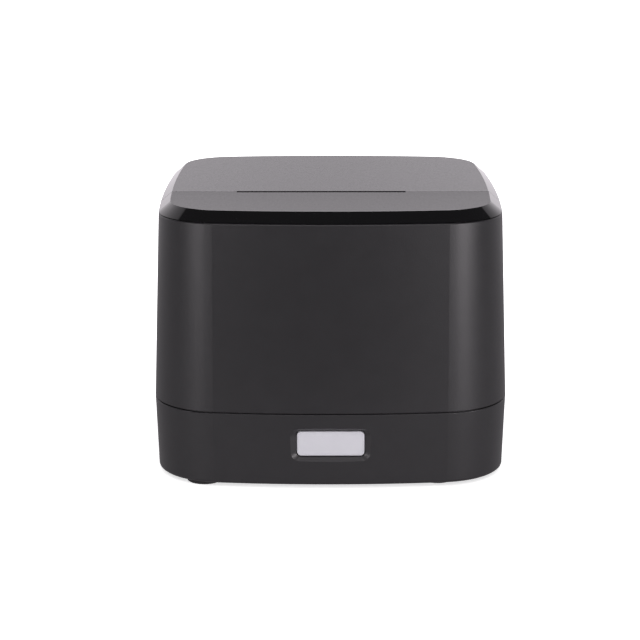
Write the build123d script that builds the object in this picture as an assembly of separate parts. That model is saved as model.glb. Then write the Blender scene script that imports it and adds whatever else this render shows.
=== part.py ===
from build123d import *
import math
import os

os.makedirs("parts", exist_ok=True)

# ---------------------------------------------------------------- sizes, mm
# Case outline: a rectangle with crowned sides and round corners, at the parting line
CASE_W = 169.4
CASE_D = 174.0
R_FRONT = 463.0
R_SIDE = 982.0
R_CORNER = 33.0
# Heights of the case, from the floor up
FOOT_OUT = 1.9
LOWER_H = 34.4
PART_GAP = 0.6
UPPER_H = 87.9
LID_GAP = 0.3
CAP_H = 4.7
# How far each wall leans in over its height
BASE_TAPER = 1.2
UPPER_DRAFT = 3.2
CAP_STEP = 0.1
CHAMFER_IN = 5.46
# Walls and fits
WALL = 2.5
FLOOR = 2.5
CAP_PLATE = 2.5
LIP_T = 2.0
RIM_T = 2.8
BASE_EDGE_R = 1.6
UPPER_EDGE_R = 0.8
SEAM_EDGE_R = 0.4
BAY_EDGE_R = 0.6
PLATE_EDGE_R = 0.3
TONGUE_T = 1.1
TONGUE_H = 2.5
FIT = 0.3
RUN = 0.05
# Seam across the top and the paper slot in it
STRIP_D = 58.9
SEAM_GAP = 0.5
PAPER_W = 80.0
PAPER_X = -4.4
SLOT_SPARE = 0.5
SLOT_FRONT = 1.85
SLOT_REAR = 0.85
TOOTH_PITCH = 1.53
TOOTH_L = 1.75
TEAR_BAR_T = 1.2
TEAR_BAR_D = 6.0
# Feet and case screws
FOOT_R = 8.5
FOOT_IN = 25.5
FOOT_IN_KEY = 34.6
FOOT_END = 16.4
FOOT_END_KEY = 17.7
FOOT_SINK = 0.8
BOSS_R = 4.5
BOSS_IN = 12.5
BOSS_END = 29.0
SCREW_R = 1.5
HEAD_R = 2.8
HEAD_H = 2.2
BOSS_TOP = 25.0
# Posts under the mechanism
POST_R = 4.0
POST_IN = 38.0
POST_FWD = 4.5
# Key window at the front
KEY_W = 31.2
KEY_H = 11.75
KEY_Z = 21.8
KEY_R = 2.0
KEY_DEEP = 2.3
KEY_T = 3.4
KEY_TRAVEL = 0.8
KEY_FLANGE = 1.6
KEY_RIM = 0.7
KEY_DISH = 0.12
KEY_EDGE_R = 0.45
KEY_GAP = 0.45
POCKET_SIDE = 4.7
POCKET_LOW = 3.67
POCKET_HIGH = 2.17
POCKET_R = 4.85
PAD_T = 2.0
# Printing mechanism
PLATEN_R = 6.0
PLATEN_DROP = 23.6
PLATEN_BACK = 11.1
SHAFT_R = 3.0
NIP_GAP = 0.3
ROLLER_END = 0.5
ARM_GAP = 0.7
ARM_T = 2.0
PLATE_GAP = 0.8
PLATE_T = 1.5
CHEEK_BACK = 8.0
BUSH_R = 4.5
HEAD_CER_T = 1.0
HEAD_SINK_T = 3.5
HEAD_TALL = 20.3
CER_TALL = 9.3
HEAD_OVER = 0.3
HEAD_FINS = 6
SPRING_X = 24.0
SPRING_DROP = 4.5
SPRING_R = 2.2
SPRING_WIRE = 0.35
MECH_BASE = 54.0
MECH_FRONT = 49.0
MODULE = 0.6
PLATEN_TEETH = 26
IDLER_TEETH = 50
PINION_TEETH = 14
GEAR_W = 5.0
MESH_CLEAR = 0.06
IDLER_DIR = -97.5
PINION_DIR = -136.5
MOTOR_R = 14.0
MOTOR_L = 20.0
STUD_R = 2.0
# Cutter
BLADE_T = 0.8
BLADE_D = 26.0
BLADE_V = 6.0
BLADE_TIP_BACK = 3.4
BLADE_DROP = 10.8
STROKE = 12.0
FIXED_T = 1.0
FIXED_D = 13.0
FIXED_SIDE = 0.6
BLADE_SCREW_IN = 10.0
BLADE_SCREW_BACK = 8.0
RACK_W = 4.0
RACK_MODULE = 0.8
RACK_TEETH = 12
CUT_GEAR_TEETH = 30
CUT_PINION_TEETH = 10
CUT_MODULE = 0.6
CUT_SHAFT_R = 2.5
CUT_SHAFT_FWD = 33.0
CUT_MOTOR = 11.6
CUT_MOTOR_L = 25.0
CUT_PLATE_T = 1.2
# Paper bucket
BUCKET_BACK = 22.5
ROLL_SIDE = 1.7
ROLL_DROP = 25.75
BUCKET_T = 2.0
DECK_T = 2.0
DECK_DROP = 12.1
LEDGE_T = 2.2
LEDGE_W = 4.8
BUCKET_LIP = 14.0
PLATFORM_IN = 25.0
PLATFORM_SHORT = 20.0
DECK_SCREW_R = 1.25
# Hinge
HINGE_IN = 13.0
HINGE_DROP = 9.6
SWEEP_R = 10.8
HINGE_PIN_R = 2.0
HINGE_ARM_IN = 37.0
HINGE_ARM_T = 4.0
EAR_T = 3.4
NOTCH_IN = 15.0
# Lid liner
LINER_T = 1.8
LINER_IN = 9.6
LINER_DROP = 4.5
LINER_POST_R = 3.4
LINER_SCREW_IN = 19.0
LINER_SCREW_FRONT = 9.0
LINER_SCREW_REAR = 26.0
# Release slider
SLIDER_DROP = 26.6
SLIDER_L = 16.0
SLIDER_H = 7.0
SLIDER_TRAVEL = 3.5
LATCH_T = 0.6
LATCH_L = 22.0
LATCH_FOOT = 8.0
LATCH_LUG = 7.0
# Electronics
COVER_SWITCH_IN = 22.0
COVER_SWITCH_BACK = 27.0
BOARD_T = 1.6
BOARD_LIFT = 5.0
BOARD_IN = 25.0
BOARD_FRONT = 5.6
FLEX_BACK = 5.6
FLEX_W = 30.0
CABLE_W = 8.0
CABLE_IN = 11.0
VENT_N = 7
VENT_PITCH = 9.0
VENT_W = 3.0
VENT_L = 35.0
VENT_FRONT = 5.0
# Connector bay in the rear and the sockets in it
BAY_IN = 30.0
BAY_Z0 = 8.0
BAY_DROP = 4.3
BAY_DEEP = 10.5
PANEL_T = 1.5
PANEL_EAR = 7.0
SOCKET_PROUD = 1.2
INLET_W = 14.0
INLET_H = 14.0
INLET_HOLE_R = 5.0
USB_W = 12.0
USB_H = 10.8
LAN_W = 16.0
LAN_H = 13.6
DRAWER_W = 14.0
DRAWER_H = 13.0
SWITCH_W = 19.0
SWITCH_H = 13.5
SWITCH_RIM = 1.0
SWITCH_LIFT = 2.4
SWITCH_TILT = 10.0

# ---------------------------------------------------------------- derived places
# The right front foot stands further in than the other three
FEET = [(FOOT_IN - CASE_W / 2, FOOT_END - CASE_D / 2), (CASE_W / 2 - FOOT_IN_KEY, FOOT_END_KEY - CASE_D / 2),
        (FOOT_IN - CASE_W / 2, CASE_D / 2 - FOOT_END), (CASE_W / 2 - FOOT_IN, CASE_D / 2 - FOOT_END)]
BOSS_X = CASE_W / 2 - BOSS_IN
BOSS_Y = CASE_D / 2 - BOSS_END
Z0 = FOOT_OUT
Z_LOW = Z0 + LOWER_H
Z_UP = Z_LOW + PART_GAP
Z_UP_TOP = Z_UP + UPPER_H
Z_CAP = Z_UP_TOP + LID_GAP
Z_TOP = Z_CAP + CAP_H
Z_PLATE = Z_TOP - CAP_PLATE
LOW_SLOPE = -BASE_TAPER / LOWER_H
UP_SLOPE = UPPER_DRAFT / UPPER_H
CAP_IN = UPPER_DRAFT + CAP_STEP
CAP_SLOPE = CHAMFER_IN / CAP_H
SEAM_Y = -CASE_D / 2 + STRIP_D
CAP_EDGE = SEAM_Y - SEAM_GAP / 2
LID_EDGE = SEAM_Y + SEAM_GAP / 2
SLOT_X0 = PAPER_X - PAPER_W / 2 - SLOT_SPARE / 2
SLOT_X1 = PAPER_X + PAPER_W / 2 + SLOT_SPARE / 2
PLATEN_Y = SEAM_Y + PLATEN_BACK
PLATEN_Z = Z_TOP - PLATEN_DROP
ARM_IN = PAPER_W / 2 + ROLLER_END + ARM_GAP
ARM_OUT = ARM_IN + ARM_T
PLATE_IN = ARM_OUT + PLATE_GAP
PLATE_OUT = PLATE_IN + PLATE_T
PLATE_XL = PAPER_X - PLATE_OUT
PLATE_XR = PAPER_X + PLATE_OUT
GEAR_X0 = PLATE_XR + 1.1
GEAR_X1 = GEAR_X0 + GEAR_W
HEAD_Y = PLATEN_Y - PLATEN_R - NIP_GAP
HEAD_TOP = PLATEN_Z + HEAD_OVER
SINK_Y0 = HEAD_Y - HEAD_CER_T - HEAD_SINK_T
SINK_Z0 = HEAD_TOP - HEAD_TALL
PIVOT_Y = SINK_Y0 + HEAD_SINK_T / 2
PIVOT_Z = SINK_Z0 + 2.2
SPRING_Z = HEAD_TOP - SPRING_DROP
CROSS_Y1 = SINK_Y0 - 8.2
MECH_Z = PLATEN_Z - MECH_BASE
MECH_Y0 = PLATEN_Y - MECH_FRONT
POST_X = CASE_W / 2 - POST_IN
POST_Y = MECH_Y0 - POST_FWD
PLATFORM_Z = MECH_Z - BUCKET_T
PLATFORM_X = CASE_W / 2 - PLATFORM_IN
HINGE_Y = CASE_D / 2 - HINGE_IN
HINGE_Z = Z_TOP - HINGE_DROP
HINGE_ARM_X = CASE_W / 2 - HINGE_ARM_IN
NOTCH_X = CASE_W / 2 - NOTCH_IN
TROUGH_R = SWEEP_R + 0.4
DECK_TOP = Z_TOP - DECK_DROP + DECK_T
DECK_Z = DECK_TOP - DECK_T
BUCKET_X0 = PAPER_X - PAPER_W / 2 - ROLL_SIDE
BUCKET_X1 = PAPER_X + PAPER_W / 2 + ROLL_SIDE
BUCKET_Y0 = PLATEN_Y
BUCKET_Y1 = CASE_D / 2 - BUCKET_BACK
CRADLE_R = (BUCKET_Y1 - BUCKET_Y0) / 2
ROLL_Y = BUCKET_Y0 + CRADLE_R
ROLL_Z = PLATEN_Z - ROLL_DROP
LIP_Z = PLATEN_Z - BUCKET_LIP
LINER_Z = Z_PLATE - LINER_DROP
SLIDER_Z = Z_TOP - SLIDER_DROP
BLADE_Z = Z_TOP - BLADE_DROP - BLADE_T
FIXED_Z = BLADE_Z + BLADE_T + 0.2
FIXED_Y = SEAM_Y + 2.8
TIP_Y = SEAM_Y - BLADE_TIP_BACK
CUT_Y = PLATEN_Y - CUT_SHAFT_FWD
RACK_R = RACK_MODULE * RACK_TEETH / 2
RACK_Z = BLADE_Z - 2.7
CUT_Z = RACK_Z - RACK_R - 0.03
CUT_PLATE_Z = RACK_Z - 0.9 * RACK_MODULE - 0.2 - CUT_PLATE_T
FLOOR_Z = Z0 + FLOOR
BOARD_Z = FLOOR_Z + BOARD_LIFT
BOARD_TOP = BOARD_Z + BOARD_T
BAY_X = CASE_W / 2 - BAY_IN
BAY_Z1 = Z_LOW - BAY_DROP
BAY_Y = CASE_D / 2 - BAY_DEEP
PANEL_Y0 = BAY_Y - PANEL_T
BOARD_X = CASE_W / 2 - BOARD_IN
FLEX_Y = CROSS_Y1 + FLEX_BACK
BOARD_Y0 = FLEX_Y - BOARD_FRONT
BOARD_Y1 = PANEL_Y0 - 1.0
CABLE_X = PLATE_XR - CABLE_IN
SOCKET_OUT = BAY_Y + SOCKET_PROUD
KEY_FACE = -CASE_D / 2 + KEY_DEEP
KEY_BACK = KEY_FACE + KEY_T + KEY_FLANGE
KEYBOARD_Y = KEY_BACK + KEY_TRAVEL + 1.7
# The sockets and the switch stand side by side in the bay with equal spaces
SOCKET_WIDTHS = [INLET_W, USB_W, LAN_W, DRAWER_W, SWITCH_W + 2 * SWITCH_RIM]
SOCKET_SPACE = (2 * BAY_X - sum(SOCKET_WIDTHS)) / (len(SOCKET_WIDTHS) + 1)
socket_centres = []
socket_edge = SOCKET_SPACE - BAY_X
for socket_w in SOCKET_WIDTHS:
    socket_centres.append(socket_edge + socket_w / 2)
    socket_edge += socket_w + SOCKET_SPACE
INLET_X, USB_X, LAN_X, DRAWER_X, SWITCH_X = socket_centres
SWITCH_Z0 = BOARD_TOP + SWITCH_LIFT
SWITCH_Z1 = SWITCH_Z0 + SWITCH_H
SWITCH_PIVOT_Y = BAY_Y - 1.5


# ---------------------------------------------------------------- helpers
def box(x0, x1, y0, y1, z0, z1):
    size = Box(x1 - x0, y1 - y0, z1 - z0)
    return Pos((x0 + x1) / 2, (y0 + y1) / 2, (z0 + z1) / 2) * size


def upright(x, y, w, d, z0, z1):
    """Box with its middle at x, y in plan."""
    return box(x - w / 2, x + w / 2, y - d / 2, y + d / 2, z0, z1)


def rod_x(x0, x1, y, z, r):
    return Pos((x0 + x1) / 2, y, z) * Rot(0, 90, 0) * Cylinder(r, x1 - x0)


def rod_y(x, y0, y1, z, r):
    return Pos(x, (y0 + y1) / 2, z) * Rot(90, 0, 0) * Cylinder(r, y1 - y0)


def rod_z(x, y, z0, z1, r):
    return Pos(x, y, (z0 + z1) / 2) * Cylinder(r, z1 - z0)


def outline(inset, z):
    """Crowned rectangle with round corners, drawn in by inset."""
    a = CASE_W / 2 - inset
    b = CASE_D / 2 - inset
    rf = R_FRONT - inset
    rs = R_SIDE - inset
    x = a
    y = b
    for _ in range(40):
        x = a - rs + math.sqrt(rs * rs - y * y)
        y = b - rf + math.sqrt(rf * rf - x * x)
    arcs = [
        ThreePointArc((-x, -y), (0, -b), (x, -y)),
        ThreePointArc((x, -y), (a, 0), (x, y)),
        ThreePointArc((x, y), (0, b), (-x, y)),
        ThreePointArc((-x, y), (-a, 0), (-x, -y)),
    ]
    face = make_face(Curve() + arcs)
    face = fillet(face.vertices(), R_CORNER - inset)
    return Pos(0, 0, z) * face


def block(inset, z0, z1, slope=0.0):
    """The outline at z0 raised to z1, drawn in by slope for each mm of height."""
    tall = z1 - z0
    if slope == 0:
        return extrude(outline(inset, z0), amount=tall)
    if slope > 0:
        return extrude(outline(inset, z0), amount=tall, taper=math.degrees(math.atan(slope)))
    turned = extrude(outline(inset + slope * tall, 0), amount=tall, taper=math.degrees(math.atan(-slope)))
    return Pos(0, 0, z1) * Rot(180, 0, 0) * turned


def side_x(inset, y):
    """Half width of the drawn in outline at y, away from the corners."""
    rs = R_SIDE - inset
    return CASE_W / 2 - inset - rs + math.sqrt(rs * rs - y * y)


def upper_in(z):
    """Inset of the upper case's outer face at z."""
    return (z - Z_UP) * UP_SLOPE


def prism_x(points, x0, x1):
    """Solid with a YZ polygon as its section, from x0 to x1."""
    face = make_face(Polyline([(x0, p[0], p[1]) for p in points], close=True))
    return extrude(face, amount=x1 - x0, dir=(1, 0, 0))


def prism_z(points, z0, z1):
    """Solid with an XY polygon as its section, from z0 to z1."""
    face = make_face(Polyline([(p[0], p[1], z0) for p in points], close=True))
    return extrude(face, amount=z1 - z0, dir=(0, 0, 1))


def rounded_y(w, h, r, x, z, y0, y1):
    """Rounded rectangle in XZ, from y0 to y1."""
    plate = extrude(RectangleRounded(w, h, r), amount=y1 - y0)
    return Pos(x, y1, z) * Rot(90, 0, 0) * plate


def screw(at, along, length, r=SCREW_R, head_r=HEAD_R, head_h=HEAD_H):
    """Cross recess screw: at is the seat under the head, along points to the tip."""
    head = Pos(0, 0, -head_h / 2) * Cylinder(head_r, head_h)
    head = chamfer(head.edges().group_by(Axis.Z)[0], head_h * 0.3)
    shank = Pos(0, 0, length / 2) * Cylinder(r, length)
    bar = Box(head_r * 1.1, head_r * 0.28, head_h * 0.9)
    body = head + shank
    body -= Pos(0, 0, -head_h) * bar
    body -= Pos(0, 0, -head_h) * Rot(0, 0, 90) * bar
    turn = {"+z": Rot(0, 0, 0), "-z": Rot(180, 0, 0), "+y": Rot(-90, 0, 0), "-y": Rot(90, 0, 0),
            "+x": Rot(0, 90, 0), "-x": Rot(0, -90, 0)}[along]
    return Pos(*at) * turn * body


def involute(angle):
    return math.tan(angle) - angle


def gear(teeth, module, y, z, phase, x0, x1, bore, slack=0.10):
    """Spur gear about an axis along X, with one tooth's middle at phase, in radians."""
    pressure = math.radians(20)
    rp = module * teeth / 2
    rb = rp * math.cos(pressure)
    ra = rp + 0.9 * module
    rd = rp - 1.2 * module
    half = math.pi / (2 * teeth) - slack / (2 * rp)

    def width(r):
        if r <= rb:
            return half + involute(pressure)
        return half + involute(pressure) - involute(math.acos(rb / r))

    start = max(rb, rd)
    radii = [start + (ra - start) * k / 3 for k in range(4)]
    root = width(start) * (0.85 if rd < rb else 1.0)
    points = []
    for k in range(teeth):
        mid = phase + 2 * math.pi * k / teeth
        flank = [(rd, -root)] + [(r, -width(r)) for r in radii]
        flank += [(r, width(r)) for r in reversed(radii)] + [(rd, root)]
        if start == rd:
            flank = flank[1:-1]
        for r, a in flank:
            points.append((y + r * math.cos(mid + a), z + r * math.sin(mid + a)))
    body = prism_x(points, x0, x1)
    if bore:
        body -= rod_x(x0 - 1, x1 + 1, y, z, bore)
    return body


def mesh_phase(teeth_a, phase_a, teeth_b, direction):
    """Phase of gear b, which lies from gear a in this direction, so that they mesh."""
    offset = phase_a - direction
    return direction + math.pi - offset * teeth_a / teeth_b + math.pi / teeth_b


PARTS = {}

# ---------------------------------------------------------------- lower case
low_in = BASE_TAPER + WALL
lower = block(BASE_TAPER, Z0, Z_LOW, LOW_SLOPE)
lower = fillet(lower.faces().sort_by(Axis.Z)[0].edges(), BASE_EDGE_R)
lower = fillet(lower.faces().sort_by(Axis.Z)[-1].edges(), SEAM_EDGE_R)
low_outer = block(BASE_TAPER, Z0, Z_LOW, LOW_SLOPE)
lower -= block(low_in + LOW_SLOPE * FLOOR, FLOOR_Z, Z_LOW + 5, LOW_SLOPE)
tongue_out = WALL - TONGUE_T
tongue = block(tongue_out, Z_LOW - 1, Z_LOW + TONGUE_H)
tongue -= block(WALL, Z_LOW - 2, Z_LOW + TONGUE_H + 1)
lower += tongue
# Columns for the case screws
for sx in (-1, 1):
    for sy in (-1, 1):
        lower += rod_z(sx * BOSS_X, sy * BOSS_Y, FLOOR_Z - 1, Z_LOW, BOSS_R)
        lower -= rod_z(sx * BOSS_X, sy * BOSS_Y, Z0 - 1, Z_LOW + 1, SCREW_R + 0.2)
        lower -= rod_z(sx * BOSS_X, sy * BOSS_Y, Z0 - 1, FLOOR_Z + 3.5, HEAD_R + 0.4)
for x, y in FEET:
    lower -= rod_z(x, y, Z0 - 1, Z0 + FOOT_SINK, FOOT_R + 0.1)
# Posts under the mechanism's platform
for sx in (-1, 1):
    lower += rod_z(sx * POST_X, POST_Y, FLOOR_Z - 1, PLATFORM_Z, POST_R)
    lower -= rod_z(sx * POST_X, POST_Y, PLATFORM_Z - 9, PLATFORM_Z + 1, SCREW_R)
# Standoffs under the main board
BOARD_SCREWS = [(-BOARD_X + 5, BOARD_Y0 + 5), (BOARD_X - 5, BOARD_Y0 + 5),
                (-BOARD_X + 5, BOARD_Y1 - 12), (BOARD_X - 5, BOARD_Y1 - 12)]
for x, y in BOARD_SCREWS:
    lower += rod_z(x, y, FLOOR_Z - 1, BOARD_Z, 3.2)
    lower -= rod_z(x, y, FLOOR_Z + 0.5, BOARD_Z + 1, DECK_SCREW_R)
# Key window: thickened wall, flared pocket and window
pad = box(-KEY_W / 2 - 6, KEY_W / 2 + 6, -CASE_D / 2 + 1, -CASE_D / 2 + 3.4 + PAD_T,
          KEY_Z - KEY_H / 2 - 6.5, KEY_Z + KEY_H / 2 + 4)
lower += pad & low_outer
peg_x = KEY_W / 2 + 5.0
PEGS = [(-peg_x, KEY_Z - 4.5), (peg_x, KEY_Z - 4.5), (-peg_x, KEY_Z + 6), (peg_x, KEY_Z + 6)]
for x, z in PEGS:
    lower += rod_y(x, -CASE_D / 2 + 4, KEYBOARD_Y, z, 2.2)
    lower -= rod_y(x, KEYBOARD_Y - 4, KEYBOARD_Y + 1, z, 1.0)
mouth_w = KEY_W + 2 * POCKET_SIDE
mouth_h = KEY_H + POCKET_LOW + POCKET_HIGH
mouth_z = KEY_Z + (POCKET_HIGH - POCKET_LOW) / 2
throat_w = KEY_W + 2 * KEY_GAP
throat_h = KEY_H + 2 * KEY_GAP
throat_r = KEY_R + KEY_GAP
throat = Pos(0, KEY_FACE + 0.1, KEY_Z) * Rot(90, 0, 0) * RectangleRounded(throat_w, throat_h, throat_r)
mouth = Pos(0, -CASE_D / 2 - 0.1, mouth_z) * Rot(90, 0, 0) * RectangleRounded(mouth_w, mouth_h, POCKET_R)
lower -= loft([throat, mouth], ruled=True)
lower -= rounded_y(throat_w, throat_h, throat_r, 0, KEY_Z, KEY_FACE, -CASE_D / 2 + 9)
# Connector bay in the rear wall
bay = box(-BAY_X - 2, BAY_X + 2, BAY_Y, CASE_D / 2, BAY_Z0 - 2, BAY_Z1 + 2)
lower += bay & low_outer
lower -= box(-BAY_X, BAY_X, BAY_Y - 1, CASE_D / 2 + 1, BAY_Z0, BAY_Z1)
bay_rim = lower.edges().filter_by_position(Axis.Y, CASE_D / 2 - 3, CASE_D / 2)
bay_rim = bay_rim.filter_by_position(Axis.X, -BAY_X - 0.1, BAY_X + 0.1)
lower = fillet(bay_rim.filter_by_position(Axis.Z, BAY_Z0 - 0.1, BAY_Z1 + 0.1), BAY_EDGE_R)
# Panel screw bosses beside the bay
PANEL_SCREWS = [(side * (BAY_X + PANEL_EAR / 2), (BAY_Z0 + BAY_Z1) / 2) for side in (-1, 1)]
for x, z in PANEL_SCREWS:
    lower += rod_y(x, BAY_Y, BAY_Y + 4.4, z, 3.0)
    lower -= rod_y(x, BAY_Y - 1, BAY_Y + 3.6, z, DECK_SCREW_R)
# Vent slots in the floor
for k in range(VENT_N):
    x = (k - (VENT_N - 1) / 2) * VENT_PITCH
    lower -= box(x - VENT_W / 2, x + VENT_W / 2, VENT_FRONT, VENT_FRONT + VENT_L, Z0 - 1, FLOOR_Z + 1)
PARTS["lower_case"] = lower

feet = []
for x, y in FEET:
    pad_foot = rod_z(x, y, 0, Z0 + FOOT_SINK, FOOT_R)
    feet.append(fillet(pad_foot.edges().group_by(Axis.Z)[0], 0.7))
PARTS["feet"] = Compound(children=feet)

screws = []
for sx in (-1, 1):
    for sy in (-1, 1):
        seat = (sx * BOSS_X, sy * BOSS_Y, FLOOR_Z + 3.5)
        screws.append(screw(seat, "+z", Z_UP + 10 - FLOOR_Z - 3.5))
PARTS["case_screws"] = Compound(children=screws)

# ---------------------------------------------------------------- upper case
upper = block(0, Z_UP, Z_UP_TOP, UP_SLOPE)
upper_outer = block(0, Z_UP, Z_UP_TOP, UP_SLOPE)
upper = fillet(upper.faces().sort_by(Axis.Z)[-1].edges(), UPPER_EDGE_R)
upper = fillet(upper.faces().sort_by(Axis.Z)[0].edges(), SEAM_EDGE_R / 2)
upper -= block(WALL - UP_SLOPE, Z_UP - 1, Z_UP_TOP + 1, UP_SLOPE)
upper -= block(tongue_out - 0.25, Z_UP - 1, Z_LOW + TONGUE_H + 0.3)
# Ledge that carries the deck
ledge_in = upper_in(DECK_Z) + WALL
ledge = block(ledge_in - 0.6, DECK_Z - LEDGE_T, DECK_Z)
ledge -= block(ledge_in + LEDGE_W, DECK_Z - LEDGE_T - 1, DECK_Z + 1)
ledge &= box(-CASE_W, CASE_W, SEAM_Y - 2, CASE_D, 0, Z_TOP)
upper += ledge
DECK_SCREWS = []
for y in (SEAM_Y + 8, HINGE_Y - 29):
    x = side_x(ledge_in + LEDGE_W * 0.6, y)
    DECK_SCREWS += [(-x, y), (x, y)]
for x, y in DECK_SCREWS:
    column = rod_z(x, y, DECK_Z - 9, DECK_Z, 3.0)
    column += box(min(x, x * 1.05), max(x, x * 1.05), y - 1, y + 1, DECK_Z - 9, DECK_Z)
    upper += column & block(0.5, Z_UP, Z_UP_TOP, UP_SLOPE)
    upper -= rod_z(x, y, DECK_Z - 8, DECK_Z + 1, DECK_SCREW_R)
# Bosses for the case screws
rib_z = Z_LOW + TONGUE_H + 0.7
for sx in (-1, 1):
    for sy in (-1, 1):
        boss = rod_z(sx * BOSS_X, sy * BOSS_Y, Z_UP, Z_UP + BOSS_TOP, BOSS_R)
        ends = sorted((sx * BOSS_X, sx * side_x(1.5, BOSS_Y)))
        boss += box(ends[0], ends[1], sy * BOSS_Y - 1, sy * BOSS_Y + 1, rib_z, Z_UP + BOSS_TOP)
        upper += boss & block(0.4, Z_UP, Z_UP_TOP, UP_SLOPE)
        upper -= rod_z(sx * BOSS_X, sy * BOSS_Y, Z_UP - 1, Z_UP + 14, SCREW_R)
# Rear notch in which the lid's hinge end swings
upper -= rod_x(-NOTCH_X, NOTCH_X, HINGE_Y, HINGE_Z, TROUGH_R)
# Slot and guide ribs for the release slider in the left wall
slide_y0 = PLATEN_Y - SLIDER_L / 2 - SLIDER_TRAVEL - 0.3
slide_y1 = PLATEN_Y + SLIDER_L / 2 + 0.3
upper -= box(-CASE_W / 2 - 1, -CASE_W / 2 + 8, slide_y0, slide_y1,
             SLIDER_Z - SLIDER_H / 2 - FIT, SLIDER_Z + SLIDER_H / 2 + FIT)
wall_x = -side_x(upper_in(SLIDER_Z) + WALL, PLATEN_Y)
for side in (-1, 1):
    z = SLIDER_Z + side * (SLIDER_H / 2 + 3.2)
    rib = box(wall_x - 1, wall_x + 2.6, slide_y0 - 4, slide_y1 + 4, z - 0.75, z + 0.75)
    upper += rib & upper_outer
PARTS["upper_case"] = upper

# ---------------------------------------------------------------- front cap
def cap_shell(y_min, y_max):
    """Top plate with its chamfered rim, between two cross seams."""
    shell = block(CAP_IN, Z_CAP, Z_TOP, CAP_SLOPE)
    hollow = block(CAP_IN + RIM_T, Z_CAP, Z_PLATE, CAP_SLOPE)
    low = y_min + LIP_T if y_min > -CASE_D / 2 else -CASE_D
    high = y_max - LIP_T if y_max < CASE_D / 2 else CASE_D
    hollow &= box(-CASE_W, CASE_W, low, high, 0, Z_TOP)
    shell -= hollow
    shell &= box(-CASE_W, CASE_W, y_min, y_max, 0, Z_TOP + 1)
    return fillet(shell.faces().sort_by(Axis.Z)[-1].edges(), PLATE_EDGE_R)


cap = cap_shell(-CASE_D, CAP_EDGE)
skirt_in = upper_in(Z_UP_TOP) + WALL + 0.25
skirt = block(skirt_in, Z_CAP - 4.0, Z_CAP + 1.2)
skirt -= block(skirt_in + 2.0, Z_CAP - 5.0, Z_CAP + 2.2)
skirt &= box(-CASE_W, CASE_W, -CASE_D, CAP_EDGE - 4, 0, Z_TOP)
cap += skirt
cap -= box(SLOT_X0, SLOT_X1, CAP_EDGE - SLOT_FRONT, CAP_EDGE + 1, Z_CAP - 1, Z_TOP + 1)
bar_y0 = CAP_EDGE - SLOT_FRONT - TEAR_BAR_D
cap -= box(SLOT_X0 - 1.5, SLOT_X1 + 1.5, bar_y0 - 0.3, CAP_EDGE + 1, Z_CAP - 1, Z_PLATE)
PARTS["front_cap"] = cap

teeth_n = int((SLOT_X1 - SLOT_X0 - 0.6) / TOOTH_PITCH)
tooth_x0 = (SLOT_X0 + SLOT_X1) / 2 - teeth_n * TOOTH_PITCH / 2
root_y = CAP_EDGE - SLOT_FRONT + 0.1
row = [(SLOT_X0 + 0.1, root_y - 1.2), (SLOT_X0 + 0.1, root_y)]
for k in range(teeth_n):
    row.append((tooth_x0 + k * TOOTH_PITCH + 0.12, root_y))
    row.append((tooth_x0 + (k + 0.5) * TOOTH_PITCH, root_y + TOOTH_L))
    row.append((tooth_x0 + (k + 1) * TOOTH_PITCH - 0.12, root_y))
row += [(SLOT_X1 - 0.1, root_y), (SLOT_X1 - 0.1, root_y - 1.2)]
bar = prism_z(row, Z_PLATE - TEAR_BAR_T, Z_TOP - 0.35)
bar -= box(SLOT_X0 - 2, SLOT_X1 + 2, root_y - 3, root_y - 0.1, Z_PLATE, Z_TOP + 1)
bar += box(SLOT_X0 - 1, SLOT_X1 + 1, bar_y0, root_y - 0.2, Z_PLATE - TEAR_BAR_T, Z_PLATE)
PARTS["tear_bar"] = bar

# ---------------------------------------------------------------- paper bucket
outer_r = CRADLE_R + BUCKET_T
shell_out = rod_x(BUCKET_X0 - BUCKET_T, BUCKET_X1 + BUCKET_T, ROLL_Y, ROLL_Z, outer_r)
shell_out += box(BUCKET_X0 - BUCKET_T, BUCKET_X1 + BUCKET_T, BUCKET_Y0 - BUCKET_T,
                 BUCKET_Y1 + BUCKET_T, ROLL_Z, DECK_TOP)
shell_in = rod_x(BUCKET_X0, BUCKET_X1, ROLL_Y, ROLL_Z, CRADLE_R)
shell_in += box(BUCKET_X0, BUCKET_X1, BUCKET_Y0, BUCKET_Y1, ROLL_Z, DECK_TOP + 1)
inside = block(ledge_in + 0.65, Z_UP, DECK_TOP + 6)
deck = block(ledge_in + 0.65, DECK_Z, DECK_TOP)
deck &= box(-CASE_W, CASE_W, SEAM_Y - 1.4, CASE_D, 0, Z_TOP)
platform = block(6.5, PLATFORM_Z, PLATFORM_Z + BUCKET_T)
platform_y1 = ROLL_Y - PLATFORM_SHORT
platform &= box(-PLATFORM_X, PLATFORM_X, -CASE_D, platform_y1, 0, Z_TOP)
platform += box(BUCKET_X0, BUCKET_X1, platform_y1 - 1, ROLL_Y, PLATFORM_Z, PLATFORM_Z + BUCKET_T)
bucket = shell_out + deck + platform
bucket -= shell_in
trough_out = rod_x(-NOTCH_X + 1, NOTCH_X - 1, HINGE_Y, HINGE_Z, TROUGH_R + BUCKET_T)
trough = trough_out - rod_x(-NOTCH_X, NOTCH_X, HINGE_Y, HINGE_Z, TROUGH_R)
trough &= inside
trough &= box(-CASE_W, CASE_W, 0, CASE_D, 0, DECK_TOP)
bucket -= trough_out
bucket += trough
bucket &= box(-CASE_W, CASE_W, -CASE_D, CASE_D, 0, DECK_TOP)
# Open front of the bucket, above its lip, for the lid's arms and the mechanism
FRONT_CUT_Y = PLATEN_Y + 9.0
bucket -= box(PLATE_XL - 9, PLATE_XR + 9, -CASE_D, FRONT_CUT_Y, LIP_Z, Z_TOP)
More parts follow.
